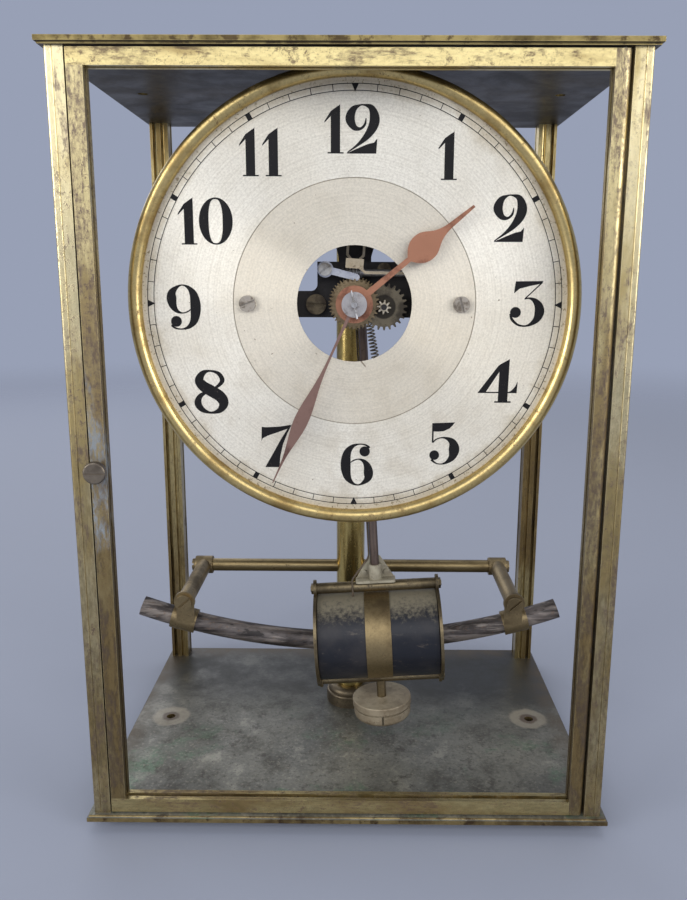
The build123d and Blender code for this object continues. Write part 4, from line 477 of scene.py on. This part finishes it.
def make_dial():
    """The silvered dial: spun rings and sandy grain, a darker inner disc, specks, and a brown bloom round its rim."""
    f = Finish("silvered_dial")
    across, _, up = f.part(f.place)
    along = f.sums("SUBTRACT", across, DIAL_X * MM)
    rise = f.sums("SUBTRACT", up, DIAL_Z * MM)
    reach = f.radius(along, rise)
    broad = f.noise(30.0, 5.0, 0.55, PLAIN, 0.1, 0.5)
    clouds = f.noise(6.0, 6.0, 0.65, PLAIN, 1.1)
    grain = f.noise(0.4, 3.0, 0.8, PLAIN, 2.1)
    tone = f.mix(f.step(broad, 0.36, 0.64), colour(242, 238, 226), colour(232, 226, 211))
    inner = f.step(reach, (DIAL_RING + 0.2) * MM, (DIAL_RING - 0.2) * MM)
    tone = f.mix(f.sums("MULTIPLY", inner, 0.5), tone, colour(212, 201, 180))
    tone = f.mix(f.step(clouds, 0.52, 0.70, 0.0, 0.14), tone, colour(178, 168, 148))
    tone = f.mix(f.step(grain, 0.35, 0.7, 0.0, 0.4), tone, colour(176, 170, 156))
    spun = f.add("ShaderNodeTexNoise")
    spun.noise_dimensions = "1D"
    spun.inputs["Scale"].default_value = 1400.0
    spun.inputs["Detail"].default_value = 3.0
    f.join(reach, spun.inputs["W"])
    tone = f.mix(f.step(spun.outputs[0], 0.35, 0.7, 0.0, 0.22), tone, colour(186, 178, 162))
    rim = f.sums("ADD", reach, f.sums("MULTIPLY", f.sums("SUBTRACT", clouds, 0.5), 0.012))
    tone = f.mix(f.step(rim, 68.0 * MM, 74.0 * MM, 0.0, 0.45), tone, colour(164, 146, 108))
    low = f.sums("MULTIPLY", f.step(rise, 0.01, -0.07), f.step(clouds, 0.44, 0.62))
    tone = f.mix(f.sums("MULTIPLY", low, 0.15), tone, colour(168, 150, 122))
    specks = f.step(f.noise(0.8, 2.0, 0.5, PLAIN, 3.1), 0.735, 0.76, 0.0, 0.75)
    tone = f.mix(specks, tone, colour(112, 94, 70))
    pits = f.step(f.noise(0.45, 3.0, 0.7, PLAIN, 4.1), 0.58, 0.64)
    pits = f.sums("MULTIPLY", pits, f.step(rim, 71.0 * MM, 74.5 * MM, 0.0, 0.8))
    tone = f.mix(pits, tone, colour(120, 104, 74))
    line = f.sums("ABSOLUTE", f.sums("SUBTRACT", reach, DIAL_RING * MM))
    tone = f.mix(f.step(line, 0.22 * MM, 0.10 * MM, 0.0, 0.7), tone, colour(124, 112, 92))
    mark_x = f.sums("SUBTRACT", along, MARK_X * MM)
    mark_z = f.sums("SUBTRACT", rise, MARK_Z * MM)
    to_x, to_z = MARK_ALONG
    down = f.sums("ADD", f.sums("MULTIPLY", mark_x, to_x), f.sums("MULTIPLY", mark_z, to_z))
    aside = f.sums("ABSOLUTE", f.sums("ADD", f.sums("MULTIPLY", mark_x, -to_z), f.sums("MULTIPLY", mark_z, to_x)))
    mark = f.sums("MULTIPLY", f.step(aside, 0.35 * MM, 0.15 * MM), f.step(down, 4.4 * MM, 3.4 * MM))
    mark = f.sums("MULTIPLY", mark, f.step(down, -0.6 * MM, 0.0, 0.0, 0.75))
    tone = f.mix(mark, tone, colour(96, 76, 52))
    f.bump(f.sums("ADD", grain, f.sums("MULTIPLY", spun.outputs[0], 0.6)), 0.05, 0.45)
    round_dial = f.add("ShaderNodeCombineXYZ")
    f.join(along, round_dial.inputs["X"])
    f.join(rise, round_dial.inputs["Z"])
    unit = f.add("ShaderNodeVectorMath")
    unit.operation = "NORMALIZE"
    f.join(round_dial.outputs[0], unit.inputs[0])
    f.join(unit.outputs[0], f.shader.inputs["Tangent"])
    f.shader.inputs["Anisotropic"].default_value = 0.93
    return f.finish(tone, 0.55, f.step(clouds, 0.3, 0.7, 0.42, 0.48))


def make_ink():
    """Black filled lettering, slightly glossy, worn thin in tiny points."""
    f = Finish("dial_ink")
    grain = f.noise(0.35, 4.0, 0.7, PLAIN, 0.6)
    tone = f.mix(f.step(grain, 0.62, 0.72, 0.0, 0.6), colour(17, 16, 18), colour(84, 78, 70))
    f.bump(grain, 0.02, 0.4)
    f.shader.inputs["Specular IOR Level"].default_value = 0.2
    return f.finish(tone, 0.0, 0.55)


def make_sleeve():
    """A woven cotton sleeve, browned with age."""
    f = Finish("wire_sleeve")
    weave = f.add("ShaderNodeTexWave")
    weave.bands_direction = "DIAGONAL"
    weave.inputs["Scale"].default_value = 900.0
    weave.inputs["Distortion"].default_value = 2.0
    f.join(f.place, weave.inputs["Vector"])
    clouds = f.noise(3.0, 5.0, 0.6, PLAIN, 0.5)
    tone = f.mix(weave.outputs["Fac"], colour(88, 76, 60), colour(58, 48, 38))
    tone = f.mix(f.step(clouds, 0.5, 0.66, 0.0, 0.5), tone, colour(112, 100, 84))
    f.bump(weave.outputs["Fac"], 0.08, 0.7)
    return f.finish(tone, 0.0, 0.75)


magnet_iron = make_magnet()
coil_wrap = make_wrap()
dusty_nut = make_dusty("dusty_nut", colour(128, 116, 96), colour(160, 150, 130), colour(80, 68, 52), 0.4)
pale_saddle = make_dusty("pale_saddle", colour(138, 131, 114), colour(172, 167, 148), colour(88, 76, 62), 0.1)
base_deck = make_deck()
roof_plate = make_roof()
silvered_dial = make_dial()
minute_wheel_brass = make_minute_wheel()
movement_screw_finish = make_movement_screws()
dial_ink = make_ink()
wire_sleeve = make_sleeve()

DRESS = {
    "back_left_post": rear_brass, "back_right_post": rear_brass, "front_left_post": post_brass,
    "front_right_post": post_brass, "post_screws": steel, "base_plate": base_deck, "top_plate": roof_plate,
    "feet": foot_brass, "bezel": bezel_brass, "dial_plate": silvered_dial, "dial_screws": grey_screws,
    "dial_spacers": fitting_brass, "centre_arbor": steel, "click_lever": bluish_steel, "coil_band": band_brass,
    "coil_bars": coil_brass, "coil_bobbin": coil_brass, "coil_winding": coil_wrap, "column": column_brass,
    "column_cap": column_brass, "column_foot": foot_brass, "column_nut": steel, "contact_fork": fork_brass,
    "contact_spring": spring_metal, "cross_bar": bar_brass, "door_bottom_rail": rail_brass,
    "door_hinge_pins": steel, "door_left_stile": stile_brass, "door_right_stile": stile_brass,
    "door_top_rail": rail_brass, "drive_wheel": wheel_brass, "hand_collet": collet_steel,
    "head_bracket": black_plate, "hour_hand": hour_copper, "hour_wheel": wheel_brass,
    "latch_escutcheon": fitting_brass, "latch_knob": knob_brass, "latch_tongue": steel,
    "lead_wire": wire_sleeve, "left_magnet_arm": strap_brass, "right_magnet_arm": strap_brass,
    "left_magnet_strap": strap_brass, "right_magnet_strap": strap_brass, "magnet": magnet_iron,
    "magnet_arm_screws": strap_brass, "minute_hand": minute_copper, "minute_wheel": minute_wheel_brass,
    "movement_plate": black_plate, "movement_screws": movement_screw_finish, "pendulum_rod": rod_brass,
    "rating_nut": dusty_nut, "rating_stem": coil_brass, "rod_clamp": fitting_brass,
    "saddle_bracket": pale_saddle, "spring_collars": fitting_brass, "suspension_block": fitting_brass,
    "suspension_leaf": steel, "taper_pin": steel, "worm_shaft": steel,
}
for name, node in nodes.items():
    finish = DRESS[name]
    if not node.material_slots:
        node.data.materials.append(finish)
    for slot in node.material_slots:
        slot.material = finish


# ---------------------------------------------------------------- dial graphics

INK = 0.04                           # thickness of the ink


class Ink:
    """Flat raised shapes on the dial, drawn in millimetres from its centre."""

    def __init__(self):
        self.points = []
        self.faces = []

    def prism(self, loop, lift=0.0):
        """One raised polygon; lift keeps the fronts of shapes that overlap apart."""
        area = sum(a[0] * b[1] - b[0] * a[1] for a, b in zip(loop, loop[1:] + loop[:1]))
        if area < 0:
            loop = loop[::-1]
        first = len(self.points)
        count = len(loop)
        for deep in (DIAL_FACE - INK - lift, DIAL_FACE):
            self.points += [((DIAL_X + x) * MM, deep * MM, (DIAL_Z + z) * MM) for x, z in loop]
        self.faces.append(tuple(range(first, first + count)))
        for i in range(count):
            j = (i + 1) % count
            self.faces.append((first + j, first + i, first + count + i, first + count + j))

    def make(self, name):
        mesh = bpy.data.meshes.new(name)
        mesh.from_pydata(self.points, [], self.faces)
        mesh.validate()
        mesh.update()
        mesh.materials.append(dial_ink)
        piece = bpy.data.objects.new(name, mesh)
        bpy.context.collection.objects.link(piece)
        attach(piece, "case")
        return piece


def smooth(points, closed=False, steps=7):
    """A smooth run through points of any number of values."""
    count = len(points)
    spans = count if closed else count - 1
    run = []
    for i in range(spans):
        if closed:
            four = [points[(i + k) % count] for k in (-1, 0, 1, 2)]
        else:
            four = [points[max(0, min(count - 1, i + k))] for k in (-1, 0, 1, 2)]
        for s in range(steps):
            t = s / steps
            run.append(tuple(
                0.5 * (2 * b + (c - a) * t + (2 * a - 5 * b + 4 * c - d) * t * t + (3 * b - a - 3 * c + d) * t ** 3)
                for a, b, c, d in zip(*four)))
    if not closed:
        run.append(tuple(points[-1]))
    return run


def stroke(points, closed=False):
    """The quadrilaterals of a line whose width changes along it: each point is x, z and width."""
    run = smooth(points, closed)
    count = len(run)
    sides = []
    for i, (x, z, width) in enumerate(run):
        before = run[(i - 1) % count] if closed or i else run[i]
        after = run[(i + 1) % count] if closed or i < count - 1 else run[i]
        dx, dz = after[0] - before[0], after[1] - before[1]
        size = math.hypot(dx, dz) or 1.0
        half = max(width, 0.01) / 2
        sides.append(((x - dz / size * half, z + dx / size * half), (x + dz / size * half, z - dx / size * half)))
    last = count if closed else count - 1
    return [[sides[i][0], sides[i][1], sides[(i + 1) % count][1], sides[(i + 1) % count][0]] for i in range(last)]


def disc(x, z, radius, sides=28):
    return [(x + radius * math.cos(math.tau * i / sides), z + radius * math.sin(math.tau * i / sides))
            for i in range(sides)]


def six():
    curl = stroke([(0.67, 0.90, 0.05), (0.58, 0.965, 0.04), (0.43, 0.985, 0.03), (0.27, 0.93, 0.09),
                   (0.15, 0.77, 0.18), (0.115, 0.5, 0.23), (0.15, 0.23, 0.18), (0.26, 0.07, 0.08),
                   (0.40, 0.015, 0.03), (0.53, 0.07, 0.08), (0.63, 0.18, 0.17), (0.645, 0.31, 0.215),
                   (0.62, 0.46, 0.17), (0.54, 0.58, 0.09), (0.42, 0.63, 0.03), (0.30, 0.60, 0.03),
                   (0.23, 0.55, 0.02)])
    return curl + [disc(0.555, 0.815, 0.12)]


def nought():
    quads = []
    count = 48
    for i in range(count):
        corners = []
        for k in (i, i + 1):
            turn = math.tau * k / count
            c, s = math.cos(turn), math.sin(turn)
            outer = (0.37 + 0.37 * c, 0.5 + 0.5 * s)
            inner = (0.365 + 0.155 * math.copysign(abs(c) ** 0.75, c),
                     0.4975 + 0.4675 * math.copysign(abs(s) ** 0.8, s))
            corners.append((outer, inner))
        quads.append([corners[0][0], corners[1][0], corners[1][1], corners[0][1]])
    return quads


DIGITS = {
    "1": (0.41, [
        [(0.135, 0.02), (0.335, 0.02), (0.335, 1.0), (0.26, 0.93), (0.135, 0.845)],
        [(0.30, 0.975), (0.135, 0.86), (0.0, 0.66), (0.0, 0.625), (0.135, 0.76), (0.2, 0.82)],
        [(0.065, 0.0), (0.41, 0.0), (0.41, 0.028), (0.065, 0.028)]]),
    "2": (0.69, stroke([
        (0.446, 0.72, 0.02), (0.42, 0.59, 0.05), (0.32, 0.505, 0.06), (0.19, 0.54, 0.13), (0.105, 0.71, 0.20),
        (0.17, 0.89, 0.14), (0.30, 0.974, 0.045), (0.41, 0.985, 0.04), (0.56, 0.925, 0.13), (0.63, 0.73, 0.21),
        (0.59, 0.54, 0.20), (0.45, 0.34, 0.13), (0.26, 0.17, 0.055), (0.045, 0.02, 0.02)])
        + [[(0.026, 0.0), (0.67, 0.0), (0.69, 0.31), (0.62, 0.225), (0.5, 0.2), (0.3, 0.12)]]),
    "3": (0.76, [
        [(0.09, 0.725), (0.21, 0.83), (0.44, 0.89), (0.69, 0.94), (0.735, 1.0), (0.12, 0.99)],
        [(0.33, 0.585), (0.717, 0.955), (0.717, 0.995), (0.33, 0.62)]]
        + stroke([
            (0.33, 0.61, 0.03), (0.45, 0.62, 0.045), (0.57, 0.56, 0.12), (0.655, 0.44, 0.19), (0.67, 0.30, 0.21),
            (0.60, 0.14, 0.14), (0.42, 0.02, 0.045), (0.22, 0.03, 0.045), (0.07, 0.15, 0.06), (0.03, 0.28, 0.05)])
        + [disc(0.14, 0.31, 0.12)]),
    "4": (0.894, [
        [(0.697, 0.995), (0.476, 0.87), (0.458, 0.03), (0.675, 0.03)],
        [(0.697, 0.995), (0.45, 0.85), (0.0, 0.235), (0.182, 0.25), (0.48, 0.72)],
        [(0.0, 0.222), (0.882, 0.222), (0.882, 0.25), (0.0, 0.25)],
        [(0.894, 0.49), (0.84, 0.37), (0.76, 0.28), (0.68, 0.24), (0.882, 0.23)],
        [(0.38, 0.0), (0.753, 0.0), (0.753, 0.035), (0.38, 0.035)]]),
    "5": (0.708, [
        [(0.063, 0.973), (0.1, 0.78), (0.206, 0.776), (0.33, 0.788), (0.457, 0.848), (0.53, 0.92), (0.586, 0.995)],
        [(0.063, 0.973), (0.063, 0.51), (0.1, 0.53), (0.1, 0.973)]]
        + stroke([
            (0.085, 0.52, 0.03), (0.17, 0.60, 0.028), (0.295, 0.636, 0.03), (0.42, 0.615, 0.075), (0.54, 0.525, 0.17),
            (0.58, 0.364, 0.245), (0.54, 0.185, 0.17), (0.42, 0.06, 0.075), (0.287, 0.013, 0.028),
            (0.16, 0.035, 0.03), (0.06, 0.12, 0.06)])
        + [disc(0.125, 0.224, 0.113)]),
    "6": (0.75, six()),
    "7": (0.70, [
        [(0.012, 0.95), (0.0, 0.61), (0.03, 0.68), (0.14, 0.74), (0.37, 0.82), (0.61, 0.91), (0.70, 1.0),
         (0.40, 0.955), (0.10, 0.94)],
        [(0.70, 0.995), (0.61, 0.91), (0.45, 0.66), (0.25, 0.30), (0.078, 0.0), (0.41, 0.0), (0.43, 0.25),
         (0.50, 0.55), (0.60, 0.80)]]),
    "8": (0.79, stroke([
        (0.376, 0.98, 0.045), (0.22, 0.93, 0.12), (0.13, 0.77, 0.20), (0.22, 0.63, 0.24), (0.40, 0.52, 0.26),
        (0.60, 0.39, 0.25), (0.67, 0.235, 0.22), (0.58, 0.08, 0.13), (0.38, 0.02, 0.05), (0.18, 0.09, 0.12),
        (0.085, 0.24, 0.16), (0.14, 0.40, 0.11), (0.30, 0.50, 0.06), (0.50, 0.60, 0.06), (0.62, 0.70, 0.09),
        (0.65, 0.80, 0.105), (0.56, 0.93, 0.08)], True)),
    "9": (0.75, [[(0.75 - x, 1.0 - z) for x, z in loop] for loop in six()]),
    "0": (0.74, nought()),
}

NUMERAL = 15.8                       # height of a numeral
LIFT, LIFTS = 0.002, 40              # each shape in a digit stands this much off the one before, then it starts again
SPACE = {"12": 0.033, "11": 0.085, "10": 0.05}
CENTRES = {"12": (-1.4, 58.4), "1": (31.6, 49.9), "2": (53.1, 29.4), "3": (60.6, 0.4), "4": (51.6, -26.9),
           "5": (33.0, -49.9), "6": (1.1, -58.0), "7": (-28.2, -51.2), "8": (-51.5, -31.4), "9": (-60.2, -1.3),
           "10": (-51.7, 28.1), "11": (-32.2, 50.9)}

numerals = Ink()
for hour in range(1, 13):
    text = str(hour)
    gap = SPACE.get(text, 0.0)
    width = sum(DIGITS[digit][0] for digit in text) + gap * (len(text) - 1)
    centre = CENTRES[text]
    start = -width / 2
    for digit in text:
        for i, loop in enumerate(DIGITS[digit][1]):
            numerals.prism([(centre[0] + (start + x) * NUMERAL, centre[1] + (z - 0.5) * NUMERAL) for x, z in loop],
                           i % LIFTS * LIFT)
        start += DIGITS[digit][0] + gap
numerals.make("numerals")

TRACK_OUT, TRACK_IN, TRACK_LINE = 72.9, 70.7, 0.26
TRACK_SIDES = 240                    # straight runs in each circle
ARROW, HOUR_MARK = 2.5, 1.75         # widths of the quarters' arrows and the hours' blocks
TICK_LIFT = 0.004                    # marks stand this much in front of the circles


def polar(radius, angle):
    return (radius * math.sin(angle), radius * math.cos(angle))


track = Ink()
for radius in (TRACK_OUT, TRACK_IN):
    for i in range(TRACK_SIDES):
        a, b = math.tau * i / TRACK_SIDES, math.tau * (i + 1) / TRACK_SIDES
        track.prism([polar(radius - TRACK_LINE / 2, a), polar(radius + TRACK_LINE / 2, a),
                     polar(radius + TRACK_LINE / 2, b), polar(radius - TRACK_LINE / 2, b)])
for minute in range(60):
    angle = math.tau * minute / 60
    if minute % 15 == 0:
        half = ARROW / 2 / TRACK_OUT
        track.prism([polar(TRACK_OUT, angle - half), polar(TRACK_OUT, angle + half),
                     polar(TRACK_IN - 0.4, angle)], TICK_LIFT)
        continue
    half = (HOUR_MARK if minute % 5 == 0 else TRACK_LINE) / 2 / TRACK_OUT
    track.prism([polar(TRACK_IN, angle - half), polar(TRACK_OUT, angle - half),
                 polar(TRACK_OUT, angle + half), polar(TRACK_IN, angle + half)], TICK_LIFT)
track.make("minute_track")


# ---------------------------------------------------------------- floor and lights

FLOOR_RADIUS = 2.0
FADE_FROM, FADE_TO = 0.55, 1.9       # the floor's fading, in metres from the middle
FLOOR_COLOUR = colour(142, 149, 168)
SKY = colour(152, 160, 181)
SOFT_LIGHT, SOFT_STRENGTH = (1.0, 0.99, 0.97, 1.0), 0.5


def make_floor():
    """A plain pale floor that fades into the background far from the object."""
    f = Finish("floor")
    across, deep, _ = f.part(f.place)
    reach = f.radius(across, deep)
    clear = f.add("ShaderNodeBsdfTransparent")
    blend = f.add("ShaderNodeMixShader")
    out = [n for n in f.tree.nodes if n.type == "OUTPUT_MATERIAL"][0]
    f.join(f.step(reach, FADE_FROM, FADE_TO), blend.inputs[0])
    f.join(f.shader.outputs[0], blend.inputs[1])
    f.join(clear.outputs[0], blend.inputs[2])
    f.join(blend.outputs[0], out.inputs["Surface"])
    return f.finish(FLOOR_COLOUR, 0.0, 0.9)


floor_mesh = bpy.data.meshes.new("floor")
floor_mesh.from_pydata([polar(FLOOR_RADIUS, math.tau * i / 64) + (0.0,) for i in range(64)], [],
                       [tuple(range(63, -1, -1))])
floor_mesh.materials.append(make_floor())
floor = bpy.data.objects.new("floor", floor_mesh)
bpy.context.collection.objects.link(floor)

world = bpy.data.worlds.new("world")
bpy.context.scene.world = world
world.use_nodes = True
tree = world.node_tree
tree.nodes.clear()
out = tree.nodes.new("ShaderNodeOutputWorld")
either = tree.nodes.new("ShaderNodeMixShader")
light = tree.nodes.new("ShaderNodeBackground")
light.inputs["Color"].default_value = SOFT_LIGHT
light.inputs["Strength"].default_value = SOFT_STRENGTH
seen = tree.nodes.new("ShaderNodeBackground")
seen.inputs["Color"].default_value = SKY
seen.inputs["Strength"].default_value = 1.0
path = tree.nodes.new("ShaderNodeLightPath")
most = tree.nodes.new("ShaderNodeMath")
most.operation = "MAXIMUM"
rays = tree.nodes.new("ShaderNodeMath")
rays.operation = "MAXIMUM"
tree.links.new(path.outputs["Is Camera Ray"], most.inputs[0])
tree.links.new(path.outputs["Is Glossy Ray"], most.inputs[1])
tree.links.new(most.outputs[0], rays.inputs[0])
tree.links.new(path.outputs["Is Transmission Ray"], rays.inputs[1])
tree.links.new(rays.outputs[0], either.inputs[0])
tree.links.new(light.outputs[0], either.inputs[1])
tree.links.new(seen.outputs[0], either.inputs[2])
tree.links.new(either.outputs[0], out.inputs["Surface"])

AIM = Vector((0.0, 0.0, 0.16))       # what the lamps point at, in metres


def lamp(name, place, size, power, tint=PLAIN):
    """A soft rectangular lamp: its place and size in metres, its power in watts."""
    data = bpy.data.lights.new(name, "AREA")
    data.shape = "RECTANGLE"
    data.size, data.size_y = size
    data.energy = power
    data.color = tint
    obj = bpy.data.objects.new(name, data)
    obj.location = place
    obj.rotation_euler = (AIM - Vector(place)).to_track_quat("-Z", "Y").to_euler()
    bpy.context.collection.objects.link(obj)


lamp("front_lamp", (0.0, -1.75, 1.15), (2.4, 1.2), 14.5)
lamp("key_lamp", (-1.55, -1.2, 0.62), (1.0, 1.0), 23.0, (1.0, 0.98, 0.95))
lamp("fill_lamp", (1.55, -1.2, 0.62), (1.0, 1.0), 19.5, (1.0, 0.98, 0.97))
lamp("top_lamp", (0.05, 0.15, 1.25), (1.0, 0.8), 3.0)
lamp("rear_lamp", (-0.6, 1.0, 0.7), (0.9, 0.7), 3.0)

scene = bpy.context.scene
scene.view_settings.view_transform = "Standard"
